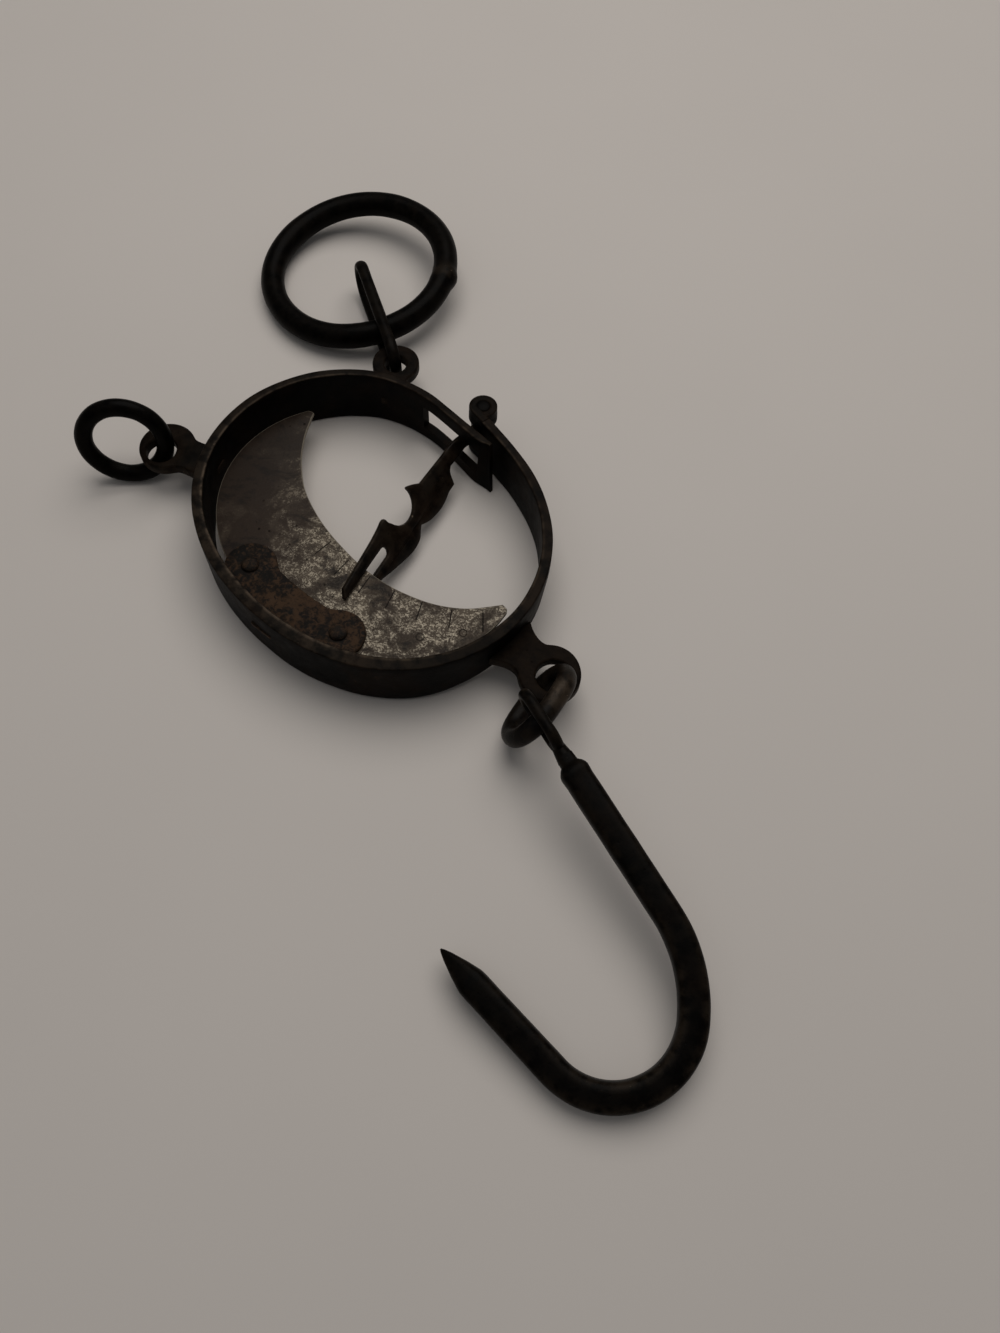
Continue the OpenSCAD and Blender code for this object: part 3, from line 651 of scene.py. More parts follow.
TIP_AT = 17.4
SLOT_FROM, SLOT_TO = -19.4, 10.5
TONGUE_BACK = 12.5
FULL_HEIGHT_STOP = 5.6
BAND_FOOT, ROLL_FOOT = 0.6, 0.5
CROWN, FOOT_CORNER, ROLL_RIM = 0.12, 0.6, 0.7
SIDE_ROWS = np.array([0.6, 2.6, 5.6, 8.4, 11.2, 14.0, 16.8, 19.4, 21.6])
SLOT_ROW, SLOT_ROW_TOP = 2, 6
ROLL_HEIGHTS = ((0.05, MID_Z - EYE_GAP / 2), (MID_Z + EYE_GAP / 2, BAND_H + 0.4))
ROLL_WEAR_AND_HIGHLIGHT = (0.2, 0.25)
ROLL_MID_R = 3.75
ROLL_ROW, ROLL_ROW_Z = 2, 5.1


def ring_way(u):
    """Direction of the band's middle line at a heading."""
    return unit(ring_mid(u + 0.5) - ring_mid(u - 0.5))


def band_line():
    """Middle line of the band from the tongue's tip to the roll, with each point's thickness and heading.

    The tongue is straight, a cubic curve joins it to the oval, and another joins the oval to the roll.
    """
    tip = TIP_AT - np.array([0.0, 1.0, 2.2, 3.4, 4.6, 5.8])
    along = np.r_[tip, np.arange(SLOT_TO, 0.1 - TONGUE_BACK, -1.2)]
    start, oval_start, oval_end = TONGUE_FOOT - TONGUE_DIR * TONGUE_BACK, ring_mid(ARC_FROM), ring_mid(ARC_TO)
    pull = oval_start - ring_way(ARC_FROM) * 9
    first = bezier(start, start - TONGUE_DIR * 9, pull, oval_start, np.arange(24) / 24)
    u = np.arange(ARC_FROM, ARC_TO - 0.5, 1.25)
    last = bezier(oval_end, oval_end + ring_way(ARC_TO) * 15, KNUCKLE_FOOT - KNUCKLE_DIR * 15, KNUCKLE_FOOT,
                  np.linspace(0, 1, 41))
    line = np.vstack([TONGUE_FOOT + TONGUE_DIR * along[:, None], first, ring_mid(u), last])
    width = np.concatenate([np.full(len(along) + len(first), TONGUE_T), thick(u), np.full(len(last), ROLL_T)])
    heading = np.unwrap(heading_of(line), period=360)
    return line, width, heading - 360 * round((heading[-1] - KNUCKLE_U) / 360)


def band_section(half, low, high, rim, foot, shares, level):
    """Closed section of the band at every station: two straight sides, a slight crown, four eased corners.

    half is half the thickness, low and high the edges' heights, and rim and foot how far the sides end from
    them; each is a number or an array over the stations. rim is the upper corners' radius too. shares places
    the sides' points between their ends, and level holds some of them, by number, at a height. Returns the
    points (stations, around, 2) as sideways offset to the left and height, and the wear of each point around,
    whose high values on the inner upper corner paint a highlight line along the rim.
    """
    half, low, high, rim, foot = (v[:, None] for v in np.broadcast_arrays(half, low, high, rim, foot))
    start, end = low + foot, high - rim
    heights = start + np.asarray(shares) * (end - start)
    for number, height in level.items():
        heights[:, number] = height
    sides = np.broadcast_to(half, heights.shape)
    out_turn, in_turn = np.radians([30, 60, 90]), np.radians([90, 60, 30])

    def corner(side, z, lift, radius, turn):
        return np.stack([side * (half - radius * (1 - np.cos(turn))), z + lift * radius * np.sin(turn)], -1)

    parts = [
        np.stack([-sides, heights], -1),
        corner(-1, end, 1, rim, out_turn),
        np.stack([0.35 * half, high + CROWN], -1),
        corner(1, end, 1, rim, in_turn),
        np.stack([sides, heights], -1)[:, ::-1],
        corner(1, start, -1, FOOT_CORNER, out_turn),
        corner(-1, start, -1, FOOT_CORNER, in_turn),
    ]
    bare = np.zeros(len(shares))
    # Wear on the corners; the high values on the inner upper corner also paint a thin highlight line along the
    # rim
    wear_and_highlight = [bare, [0.2, 0.35, 0.3], [0.25], [0.95, 0.8, 0.3], bare, [0.3, 0.3, 0.2], [0.2, 0.3, 0.3]]
    return np.concatenate(parts, 1), np.concatenate(wear_and_highlight)


def slotted_faces(rows, cols, first, last, near, across):
    """Faces of a closed strip's grid with a slot through it, from station first to last.

    near are the slot's columns on one side and across those at the same heights on the other. The faces in
    the slot are left out on both sides, and walls join the two openings along all four edges.
    """
    faces = grid_faces(rows, cols).reshape(rows - 1, cols, 4)
    keep = np.ones((rows - 1, cols), bool)
    keep[first:last, near[:-1]] = False
    keep[first:last, across[1:]] = False
    s = np.arange(first, last) * cols
    walls = []
    for a, b in zip(near[[0, -1]], across[[0, -1]]):
        walls.append(np.stack([s + a, s + cols + a, s + cols + b, s + b], -1))
    for station in (first * cols, last * cols):
        walls.append(station + np.stack([near[:-1], near[1:], across[1:], across[:-1]], -1))
    return np.vstack([faces[keep], *walls])


def add_roll(shell, tail, tail_side):
    """Adds the knuckle: the band's end carried round the pin in two halves, over and under the pointer's eye.

    The line is a circle about the pin that starts from the band at its own radius and draws in to the roll's.
    """
    foot = KNUCKLE_FOOT - PIN
    swing = np.radians(np.arange(4, 312, 4.0))
    radius = np.interp(swing, [0, 0.7], [np.linalg.norm(foot), ROLL_MID_R])[:, None]
    a = math.atan2(foot[1], foot[0]) - swing
    outward = np.stack([np.cos(a), np.sin(a)], -1)
    line = np.vstack([tail, PIN + radius * outward])
    side = np.vstack([tail_side, outward])
    thin = np.concatenate([np.full(len(tail), ROLL_T), np.interp(swing, [0, 0.7, 5.4], [ROLL_T, 2.98, 2.7])])
    for (low, high), share in zip(ROLL_HEIGHTS, ROLL_WEAR_AND_HIGHLIGHT):
        # The sides' last row is held low, so in the upper half it lies on the foot
        level = {ROLL_ROW: ROLL_ROW_Z}
        section, wear_and_highlight = band_section(thin / 2, low, high, ROLL_RIM, ROLL_FOOT, (0.0, 0.5, 1.0), level)
        section[..., 1] = section[..., 1].clip(low, high + CROWN)
        add_carried(shell, carried(line, side, section), np.tile(wear_and_highlight * share, len(line)))


def build_band(sizes, material):
    """The one-piece band: tongue with its slot, oval, and the knuckle that is rolled round the pin."""
    shell = Shell()
    line, width, heading = band_line()
    run = run_along(line)
    stop = int(np.argmin(np.abs(run - (run[-1] - FULL_HEIGHT_STOP))))
    side = left_of(unit(np.gradient(line, axis=0)))
    rough = sizes.unevenness * 1000
    t = run / run[-1]
    along = (line - TONGUE_FOOT) @ TONGUE_DIR
    tongue = heading < ARC_FROM + 6
    # The tongue thins to its tip on its far side
    tip = np.where(tongue, ease(along, 8.0, TIP_AT), 0.0)
    thinned = 0.75 * tip
    half = width / 2 + 0.5 * rough * waver(t, 3, (7, 11, 17, 29)) * (1 - tip) - thinned
    low = (
        1.0 * ease(heading, -120, -75) * (1 - ease(heading, -20, 12))
        + 3.2 * bump_at(heading, -32, 42)
        + 0.15 * (1 + waver(t, 5, (3, 6, 13)))
    )
    high = BAND_H + 0.6 * rough * waver(t, 8, (4, 9, 15, 26)) + 0.5 * bump_at((heading + 360) % 360, 105, 60)
    shares = (SIDE_ROWS - SIDE_ROWS[0]) / (SIDE_ROWS[-1] - SIDE_ROWS[0])
    level = {row: SIDE_ROWS[row] for row in range(SLOT_ROW, SLOT_ROW_TOP + 1)}
    section, wear_and_highlight = band_section(half, low, high, sizes.rim_ease * 1000, BAND_FOOT, shares, level)
    x, z = section[..., 0], section[..., 1]
    x -= thinned[:, None]
    # The outside leans in towards the table on the right, so the band is thinner at its lower edge there
    lean = 1.5 * ease(heading, -75, -45) * (1 - ease(heading, 10, 50))
    x += lean[:, None] * np.clip(1 - z / 18.0, 0, 1) * (x < 0)
    # The tongue's tip is bent a little inwards at its lower edge
    bent = 2.4 * np.clip((along + 8) / 25, 0, 1) * tongue
    x += bent[:, None] * np.clip(1 - z / BAND_H, 0, 1)
    points = carried(line, side, section)
    # The tip is cut aslant, shorter at the top
    cut = 3.2 * (ease(along, SLOT_TO, TIP_AT) * tongue)[:, None] * z / BAND_H
    points[..., :2] -= TONGUE_DIR * cut[..., None]
    cols = points.shape[1]
    slot = np.where((along[:stop] <= SLOT_TO + 1e-6) & (along[1 : stop + 1] >= SLOT_FROM) & tongue[:stop])[0]
    near = np.arange(SLOT_ROW, SLOT_ROW_TOP + 1)
    inner_top = len(SIDE_ROWS) + 7
    across = inner_top + len(SIDE_ROWS) - 1 - near
    faces = slotted_faces(stop + 1, cols, slot[0], slot[-1] + 1, near, across)
    # The rim's wear colour and its painted highlight line are laid on more strongly on the left and at the
    # bottom than at the top and on the right
    around = (heading[: stop + 1] + 360) % 360
    share = 0.55 + 0.75 * bump_at(around, 215, 100) + 0.25 * waver(t[: stop + 1], 12, (5, 11, 23))
    ring = np.arange(cols)
    shell.add(points[: stop + 1], faces, (share[:, None] * wear_and_highlight).clip(0, 1), (ring, ring + stop * cols))
    add_roll(shell, line[stop:], side[stop:])
    shell.make("ring_band", "frame", "spring_band", "dark_iron", material)


def build_pin(material):
    """Hinge pin, slim in the pointer's eye, tight in the roll above it, with a low domed end."""
    shell = Shell()
    a = np.radians([0, 20, 40, 60, 78])
    dome = np.stack([2.5 * np.cos(a), 22.5 + 0.55 * np.sin(a)], -1)
    shaft = [[0.4, 0.2], [1.8, 0.2], [2.0, 0.5], [2.0, 16.4], [2.5, 16.8]]
    spun(shell, np.vstack([shaft, dome, [[0.1, 23.08]]]), PIN, 40, 0.06, 0.02, 4)
    shell.make("pin", "frame", "hinge_pin", "worn_iron", material)


# Pointer

POINTER_TURN, STEM_TURN, BLADE_TILT = -114.4, -134.3, 50.0
STEM_LEN = 11.6
FORK_MID, FORK_HALF = 0.1, 1.85
FORK_ROOT = 52.5
EYE_BORE, EYE_R, EYE_PLAY = 2.1, 4.4, 0.3
# Inset and height of the blade's levels, and the shares of its room that make its ridge
BLADE_LEVELS = (
    (0.5, -1.0), (0.12, -0.8), (0.0, -0.45), (0.0, 0.35), (0.12, 0.75),
    (0.45, 1.0, 0.05, 0.0), (0.5, 1.0, 0.35, 0.05), (0.5, 1.0, 0.62, 0.09),
)


def from_pin(radius, heading):
    """Point in the middle of the band's height, at a radius and a heading from the pin."""
    return np.array([*(PIN + polar(radius, heading)), MID_Z])


def blade_place(points):
    """Flat blade points and heights into the part's frame: tilted about the blade's length, turned, moved."""
    return placed(points, [(X_AXIS, -BLADE_TILT), (Z_AXIS, POINTER_TURN)], from_pin(STEM_LEN, STEM_TURN))


def blade_outline():
    """Outline of the pointer's blade, along its length and across: horns round a bite, a belly and a fork."""
    bite = np.array([37.6, -6.3]) + polar(7.2, np.arange(174, 17, -12.0))
    slot = np.array([FORK_ROOT + FORK_HALF, FORK_MID]) + polar(FORK_HALF, np.arange(270, 89, -15.0))
    return np.vstack([
        [[3, -2.6]],
        spline([[24.5, -3.8], [27.3, -5.9], [30.2, -7.4], [30.5, -5.6]], 6),
        bite,
        spline([[45.2, -5.4], [45.9, -7.6], [50.4, -6.9], [57.2, -6.1], [75.1, -4.8]], 6),
        [[77.5, FORK_MID - FORK_HALF - 0.5], [77.1, FORK_MID - FORK_HALF]],
        slot,
        [[75, FORK_MID + FORK_HALF]],
        spline([[75, FORK_MID + FORK_HALF + 1], [68, 4.1], [62.5, 5.3], [56.1, 7.1], [47.4, 9.1], [43.5, 9.4],
                [39.8, 8.8], [37.7, 7.4]], 6),
        spline([[35.6, 6.0], [32.5, 7.6], [29.4, 8.4], [24.9, 8.9], [21.2, 8.6], [17.4, 7.7]], 6),
        spline([[13.5, 7.7], [12.6, 5.4], [11.4, 3.2], [8.4, 1.9], [3, 2.4]], 6),
    ])


def add_stem(shell):
    """Adds the stem: an upright rounded bar swept out from the eye, which turns to the blade's tilt."""
    k = np.linspace(0, 1, 26)
    into, end = blade_place([[1.0, -0.4, 0.0], [10.0, -0.3, 0.0]])
    line = bezier(from_pin(3.0, STEM_TURN), from_pin(9.5, STEM_TURN), into, end, k)
    tangent = unit(np.gradient(line, axis=0))
    tilt = np.radians(ease(k, 0.3, 1.0) * BLADE_TILT)[:, None]
    flat_side = unit(np.cross(tangent, [0.0, 0.0, 1.0]))
    wide = np.cross(flat_side, tangent) * np.cos(tilt) + flat_side * np.sin(tilt)
    thin = np.interp(k, [0, 0.45, 1], [1.1, 1.2, 1.05])
    tall = np.interp(k, [0, 0.45, 1], [4.6, 3.3, 2.5])
    around = round_section(24, 0.55)
    section = np.stack([thin, tall], -1)[:, None] * around
    wear_and_highlight = 0.35 + 0.5 * np.abs(around[:, 1]) ** 6
    add_carried(shell, carried(line, np.cross(tangent, wide), section, wide), np.tile(wear_and_highlight, len(k)))


def build_pointer(material):
    """Pointer: an eye on the pin, a stem that twists into the tilted blade, and the blade with its fork."""
    shell = Shell()
    h = EYE_GAP / 2 - EYE_PLAY
    upper = np.array([[EYE_BORE, h - 0.3], [EYE_BORE + 0.4, h], [EYE_R - 0.5, h], [EYE_R, h - 0.5]])
    profile = np.vstack([upper * [1, -1], upper[::-1]]) + [0, MID_Z]
    spun(shell, profile, PIN, 48, 0.3, bored=True)
    add_stem(shell)
    plate(shell, [resample(blade_outline(), 0.6, closed=True)], BLADE_LEVELS, blade_place, 0.9, 0.35)
    shell.make("pointer_arm", "pointer", "pointer", "brown_iron", material, 32)


# Dial, bracket and rivets

DIAL_Z, DIAL_T = 11.4, 1.4
DIAL_PLAY = 2.0
SEAT = 0.05
BRACKET_Z = DIAL_Z + DIAL_T / 2 + SEAT
BRACKET_T = 1.5
RIVET_REACH, RIVET_TURNS = 100.6, (-137.6, -114.3)
RIVETS = PIN + polar(RIVET_REACH, np.array(RIVET_TURNS))
LOBE_R, WEB_REACH = 9.2, 94.3
RIVET_R, HEAD_R, FOOT_R = 1.6, 3.1, 2.9
BRACKET_TENON_U = -125.7


def build_dial(material):
    """Crescent plate: an outer edge that follows the band, and a slack hollow edge between two horns."""
    shell = Shell()
    u = np.arange(104, 346.1, 1.5)
    outer_r = ring_inner(u) - DIAL_PLAY - 2.4 * ((u - 225) / 100) ** 2
    outer = polar(outer_r, u) - MID
    hollow = spline([
        [-26.9, 50.5], [-27.8, 45.5], [-28.7, 40.0], [-29.0, 35.0], [-28.6, 27.0], [-25.9, 15.4],
        [-20.7, 5.4], [-14.2, -3.4], [-6.2, -11.8], [0.5, -17.7], [8.6, -22.9], [15.8, -26.2],
        [22.8, -28.5], [29.6, -29.6], [36.3, -29.6], [42.4, -28.4], [47.4, -27.2],
    ], 6)[::-1] - MID
    hollow_u = heading_of(hollow) % 360
    inside = np.hypot(*(hollow + MID).T) < np.interp(hollow_u, u, outer_r) - 0.8
    hollow, hollow_u = hollow[inside], hollow_u[inside]
    outer = outer[(u > hollow_u[-1] + 0.5) & (u < hollow_u[0] - 0.5)]
    outline = resample(np.vstack([outer, hollow]), 1.3, closed=True)
    levels = [(0.3, -0.7), (0.0, -0.5), (0.0, 0.45), (0.1, 0.64), (0.35, 0.7)]
    plate(shell, [outline], levels, lambda p: p + [0, 0, DIAL_Z], 0.75, 0.0)
    shell.make("dial", "frame", "dial_plate", "dial_steel", material, 50)


def bracket_outline():
    """Bean: a lobe at each rivet and two arcs about the pin, softened and kept inside the band."""
    far_turn, near_turn = RIVET_TURNS
    turn_in = math.degrees(math.acos((RIVET_REACH - WEB_REACH) / LOBE_R))
    near = RIVETS[1] + polar(LOBE_R, near_turn + np.arange(0, 180 + turn_in, 6.0))
    web = PIN + polar(WEB_REACH, np.linspace(near_turn - 4.3, far_turn + 4.3, 12))
    far = RIVETS[0] + polar(LOBE_R, far_turn + np.arange(180 - turn_in, 360.1, 6.0))
    back = PIN + polar(RIVET_REACH + LOBE_R, np.linspace(far_turn, near_turn, 12)[1:-1])
    p = softened(resample(np.vstack([near, web, far, back]), 1.0, closed=True), 5)
    u = heading_of(p) % 360
    reach = np.minimum(np.hypot(*(p + MID).T), ring_inner(u) + 0.8)
    return resample(polar(reach, u) - MID, 0.9, closed=True)


def build_bracket(material):
    """Bean-shaped bracket with a slight crown, and its tenon through the band."""
    shell = Shell()
    levels = [(0.4, 0.0), (0.0, 0.3), (0.0, 0.9), (0.2, 1.3), (0.6, 1.5), (0.5, 1.55, 0.4, 0.012)]
    plate(shell, [bracket_outline()], levels, lambda p: p + [0, 0, BRACKET_Z], 0.6, 0.15)
    r = float(ring_outer(BRACKET_TENON_U))
    levels = tenon_levels(0.0, BRACKET_T, 0.2)
    add_tenon(shell, BRACKET_TENON_U, r - 7, r + 0.4, 4.5, 0.8, levels, BRACKET_Z, (0.5, 0.3))
    shell.make("bracket", "frame", "dial_bracket", "rusty_iron", material, 40)


def build_rivets(material):
    """Two rivets with uneven hammered heads above and flatter ones below."""
    shell = Shell()
    top = BRACKET_Z + BRACKET_T + SEAT
    low = DIAL_Z - DIAL_T / 2 - SEAT
    a = np.radians(np.arange(0, 86, 12.0))
    head = np.stack([HEAD_R * np.cos(a), top + 0.25 + 1.45 * np.sin(a) ** 0.9], -1)
    foot = [[0.2, low - 1.6], [1.9, low - 1.5], [2.6, low - 0.9], [FOOT_R, low - 0.2], [FOOT_R, low]]
    neck = [[RIVET_R, low], [RIVET_R, top], [HEAD_R - 0.15, top], [HEAD_R, top + 0.1]]
    profile = np.vstack([foot, neck, head, [[0.1, top + 1.7]]])
    for seed, at in zip((21, 22), RIVETS):
        spun(shell, profile, at, 40, 0.45, 0.05, seed)
    shell.make("rivets", "frame", "dial_rivets", "rusty_iron", material, 40)


# Lugs

LUG_T = 4.4
TENON_HALF_W, TENON_HALF_T, TENON_PROUD = 3.5, 1.6, 0.3


class Lug(NamedTuple):
    """A lug's heading, its reach beyond the band to its head's middle, its half widths, and its hole."""

    name: str
    node: str
    heading: float
    reach: float
    head_r: float
    neck: float
    foot: float
    hole_r: float
    hole_at: tuple


LUGS = (
    Lug("top_eye", "top_lug", 89.7, 14.3, 8.9, 5.2, 5.4, 4.1, (-2.44, 82.45)),
    Lug("left_eye", "left_lug", 159.6, 17.6, 10.1, 6.6, 7.4, 5.4, (-81.6, 34.8)),
    Lug("hook_eye", "hook_lug", -39.3, 16.6, 10.5, 7.0, 10.4, 5.8, (62.3, -45.03)),
)


def lug_outline(lug):
    """Outline of a lug along its own line, from inside the band: a flaring neck, then an uneven circle."""
    join = 180 - math.degrees(math.asin(min(lug.neck / lug.head_r, 0.99)))
    joint = polar(lug.head_r, join)
    foot, waist = np.array([-lug.reach - 1.2, lug.foot]), np.array([-lug.reach + 3, lug.neck])
    flare = bezier(foot, waist, joint - [2.5, 0.4], joint, np.linspace(0, 1, 10))
    a = np.arange(join, -join - 0.1, -6.0)
    head = polar(lug.head_r * (1 + 0.012 * waver(a / 360, int(abs(lug.heading)), (2, 3, 4))), a)
    outline = np.vstack([flare[:-1], head, (flare * [1, -1])[::-1][1:]])
    return softened(resample(outline, 0.8, closed=True), 2)


def build_lug(lug, sizes, material):
    """A lug: eased plate with a round hole on a neck, and its tenon showing inside the band."""
    shell = Shell()
    out = float(ring_outer(lug.heading))
    shape = lug_outline(lug) + [out + lug.reach, 0]
    shape = placed_at(lug.heading, 0.0)(np.c_[shape, np.zeros(len(shape))])[:, :2]
    a = np.arange(0, 360, 9.0)
    hole = np.array(lug.hole_at) + polar(lug.hole_r * (1 + 0.015 * waver(a / 360, 5, (2, 3))), a)
    e, h = sizes.lug_ease * 1000, LUG_T / 2
    levels = [
        (e, -h), (0.3 * e, 0.3 * e - h), (0.0, e - h),
        (0.0, h - e), (0.13 * e, h - 0.5 * e), (0.5 * e, h - 0.13 * e), (e, h),
    ]
    plate(shell, [shape, hole], levels, lambda p: p + [0, 0, MID_Z], 0.8, 0.2)
    deep = float(thick(lug.heading if lug.heading < ARC_TO else lug.heading - 360))
    levels = tenon_levels(-TENON_HALF_T, TENON_HALF_T, 0.15)
    inner, outer = out - deep - TENON_PROUD, out + 1.5
    add_tenon(shell, lug.heading, inner, outer, TENON_HALF_W, 0.7, levels, MID_Z, (0.6, 0.4))
    shell.make(lug.name, "frame", lug.node, "brown_iron", material, 40)


# Rings and links

BIG_RING_AT, BIG_RING_TURNS = (-23.09, 135.15, 9.38), [(X_AXIS, -7.6), (Z_AXIS, 112.0)]
BIG_RING_R, BIG_BAR_R = 35.4, 4.7
LAP_HEADING, LAP_WIDTH = -122.0, 8.0
SMALL_RING_AT, SMALL_RING_TURNS = (-93.73, 34.88, 16.56), [(X_AXIS, 74.0), (Z_AXIS, 7.5)]
SMALL_RING_R, SMALL_BAR_R = 13.9, 3.1


class Link(NamedTuple):
    """A link's straight length, its bends' radius, its wire's radius and depth, and a rubbed spot that on the
    lower link is also a painted highlight.
    """

    length: float
    bend_r: float
    wire_r: float
    depth: float
    turns: list
    centre: tuple
    seed: int
    rub_and_highlight_at: tuple = ()
    rub_and_highlight_over: float = 0.0


UPPER_LINK = Link(39.6, 7.2, 1.8, 1.28, [(X_AXIS, 90.0), (Z_AXIS, 111.4)], (-12.29, 107.59, 9.75), 71)
# Its rubbed spot on the top strand is also a painted highlight
LOWER_LINK = Link(
    7.1, 10.0, 3.0, 1.12, [(X_AXIS, 119.8), (Z_AXIS, 61.1)], (58.0, -56.18, 13.7), 81, (3.0, 10.0), 9
)


def add_ring(shell, radius, bar, turns, centre, n, uneven, seed, lap=0.0):
    """Adds a ring: a round bar carried round a circle, its line and thickness slightly uneven, then placed.

    lap is the height of the lump where the bar's ends are welded together.
    """
    a = np.linspace(0, 360, n, endpoint=False)
    t = a / 360
    out = np.c_[polar(1, a), np.zeros(n)]
    line = out * (radius + uneven * waver(t, seed, (2, 3, 5)))[:, None]
    line[:, 2] += uneven * 0.8 * waver(t, seed + 1, (2, 3, 4))
    near_lap = bump_at((a - LAP_HEADING + 180) % 360 - 180, 0, LAP_WIDTH) if lap else np.zeros(n)
    size = bar * (1 + 0.02 * waver(t, seed + 2, (3, 5, 9, 14))) + lap * near_lap
    around = round_section(32)
    around = around * (1 + 0.015 * waver(np.arange(32) / 32, seed + 3, (2, 4, 7)))[:, None]
    section = size[:, None, None] * around
    section[..., 0] += ((size - size.min()) * near_lap)[:, None]
    wear_and_highlight = np.tile(0.12 + 0.5 * near_lap[:, None], 32)
    add_carried(shell, placed(carried(line, out, section), turns, centre), wear_and_highlight, closed=True)


def add_link(shell, link):
    """Adds a link: an uneven round wire carried round two straight sides and two half circles."""
    a = np.arange(-90, 90, 8)
    right = polar(link.bend_r, a) + [link.length / 2, 0]
    line = resample(np.vstack([right, -right]), 0.8, closed=True)
    t = np.arange(len(line)) / len(line)
    out = -left_of(unit(np.roll(line, -1, 0) - np.roll(line, 1, 0)))
    size = link.wire_r * (1 + 0.03 * waver(t, link.seed, (2, 5, 9)))
    wear_and_highlight = np.full(len(line), 0.25)
    # The rubbed spot is wear, and on the lower link also a painted highlight on the top strand
    if link.rub_and_highlight_at:
        wear_and_highlight += 0.75 * bump_at(np.linalg.norm(line - link.rub_and_highlight_at, axis=1), 0, link.rub_and_highlight_over)
    section = size[:, None, None] * round_section(24) * [1.0, link.depth]
    points = placed(carried(line, out, section), link.turns, link.centre)
    add_carried(shell, points, np.repeat(wear_and_highlight, 24), closed=True)


# Hook

HOOK_AT = np.array([58.35, -64.78, 21.9])
HOOK_TURN, HOOK_TIP_AXIS, HOOK_TIP = -55.1, (*polar(1, -22.9), 0), 10.7
HOOK_TURNS = [(Z_AXIS, HOOK_TURN), (HOOK_TIP_AXIS, HOOK_TIP)]
HOOK_BAR_R = 4.6
NECK_TO, SHANK_FROM, SHANK_TO = 15.2, 13.5, 68.3
BOW_R, BOW = 45.0, 37.4
THROAT_R, THROAT = 23.2, 129.9
POINT_LEG = 46.0
HOOK_EYE_LEN = 9.2


def hook_place(points):
    """Hook's own flat frame into the part's: turned in its plane, the plane tipped, then moved to the eye."""
    return placed(points, HOOK_TURNS, HOOK_AT)


def hook_line():
    """Middle line of the hook's bar from its neck: straight shank, gentle bow, round throat, point leg."""
    shank = np.stack([np.linspace(SHANK_FROM, SHANK_TO, 60), np.zeros(60)], -1)
    bow = np.array([SHANK_TO, -BOW_R]) + polar(BOW_R, 90 - np.linspace(0, BOW, 26)[1:])
    centre = bow[-1] + polar(1.0, -BOW) + polar(THROAT_R, -BOW - 90)
    throat = centre + polar(THROAT_R, 90 - BOW - np.linspace(0, THROAT, 60))
    leg = throat[-1] + polar(1, -BOW - THROAT) * np.linspace(0, POINT_LEG, 56)[1:, None]
    return np.vstack([shank, bow, throat, leg])


def build_hook(material):
    """Hook: an eye of thin wire, a slim neck, and an eased square bar that bends round to a drawn point."""
    shell = Shell()
    centre = hook_place([HOOK_EYE_LEN / 2 - 4.2, 0, 0])
    turns = [(X_AXIS, 90), *HOOK_TURNS]
    add_link(shell, Link(HOOK_EYE_LEN, 5.25, 1.65, 1.15, turns, centre, 31, (-9.85, 0), 6))
    # Neck: ovals from the eye to the shoulder
    k = np.linspace(0, 1, 12)
    size = np.interp(k, [0, 0.3, 1], [1.95, 2.15, 3.0])
    tall = np.interp(k, [0, 0.2, 0.6, 1], [2.8, 2.6, 2.4, 2.9])
    neck = np.stack([7.9 + k * (NECK_TO - 7.9), 0 * k], -1)
    section = np.stack([size, tall], -1)[:, None] * round_section(24)
    add_carried(shell, hook_place(carried(neck, np.tile([0.0, 1.0], (12, 1)), section)), 0.3)
    # Bar: widest behind its shoulder, drawn down over the last of its length
    line = resample(hook_line(), 1.0)
    run = run_along(line)
    t = run / run[-1]
    shoulder = np.interp(run, [0, 3.0, 3.8, 5.4, 6.2, 9.0], [0.60, 0.64, 0.82, 1.03, 1.04, 1.0])
    drawn = np.interp(run[-1] - run, [0, 0.6, 3.0, 8.0, 12.5, 15.0], [0.05, 0.14, 0.36, 0.72, 0.98, 1.0])
    wide = 1 + 0.018 * waver(t, 41, (3, 7, 12, 19))
    tall = 1 + 0.015 * waver(t, 43, (4, 6, 11))
    m = 32
    around = round_section(m, 0.58, math.pi / m)
    size = (HOOK_BAR_R * 0.99 * shoulder * drawn)[:, None]
    section = (size * np.stack([wide, tall], -1))[:, None] * around
    corner = np.clip((np.hypot(*around.T) - 1.06) / 0.14, 0, 1)
    wear_and_highlight = 0.08 + (0.35 + 0.65 * bump_at(t, 0.55, 0.3))[:, None] * corner * 0.75
    side = left_of(unit(np.gradient(line, axis=0)))
    add_carried(shell, hook_place(carried(line, side, section)), wear_and_highlight)
    shell.make("load_hook", "hook", "hook", "black_iron", material, 60)


# Stage: the camera is fitted to the photo's view of the ring's rims, and its lens comes from that fit

TABLE_HALF = 8.0
ROOM_COLOUR, ROOM_LIGHT = (0.96, 0.98, 1.0, 1.0), 0.12
CAMERA_AT, CAMERA_PITCH, CAMERA_ROLL = (0.04482, -0.19744, 0.3174), 63.083, 3.868
SENSOR = 36.0
FOCAL_PX, LONG_SIDE_PX = 1050.04, 1333


def add_to_scene(name, data):
    made = bpy.data.objects.new(name, data)
    bpy.context.scene.collection.objects.link(made)
    return made


def add_table(material):
    """Adds the table top as one large square."""
    corners = np.array([[-1, -1, 0], [1, -1, 0], [1, 1, 0], [-1, 1, 0]]) * TABLE_HALF
    mesh = bpy.data.meshes.new("table")
    mesh.from_pydata(corners.tolist(), [], [[0, 1, 2, 3]])
    mesh.materials.append(material)
    add_to_scene("table", mesh)


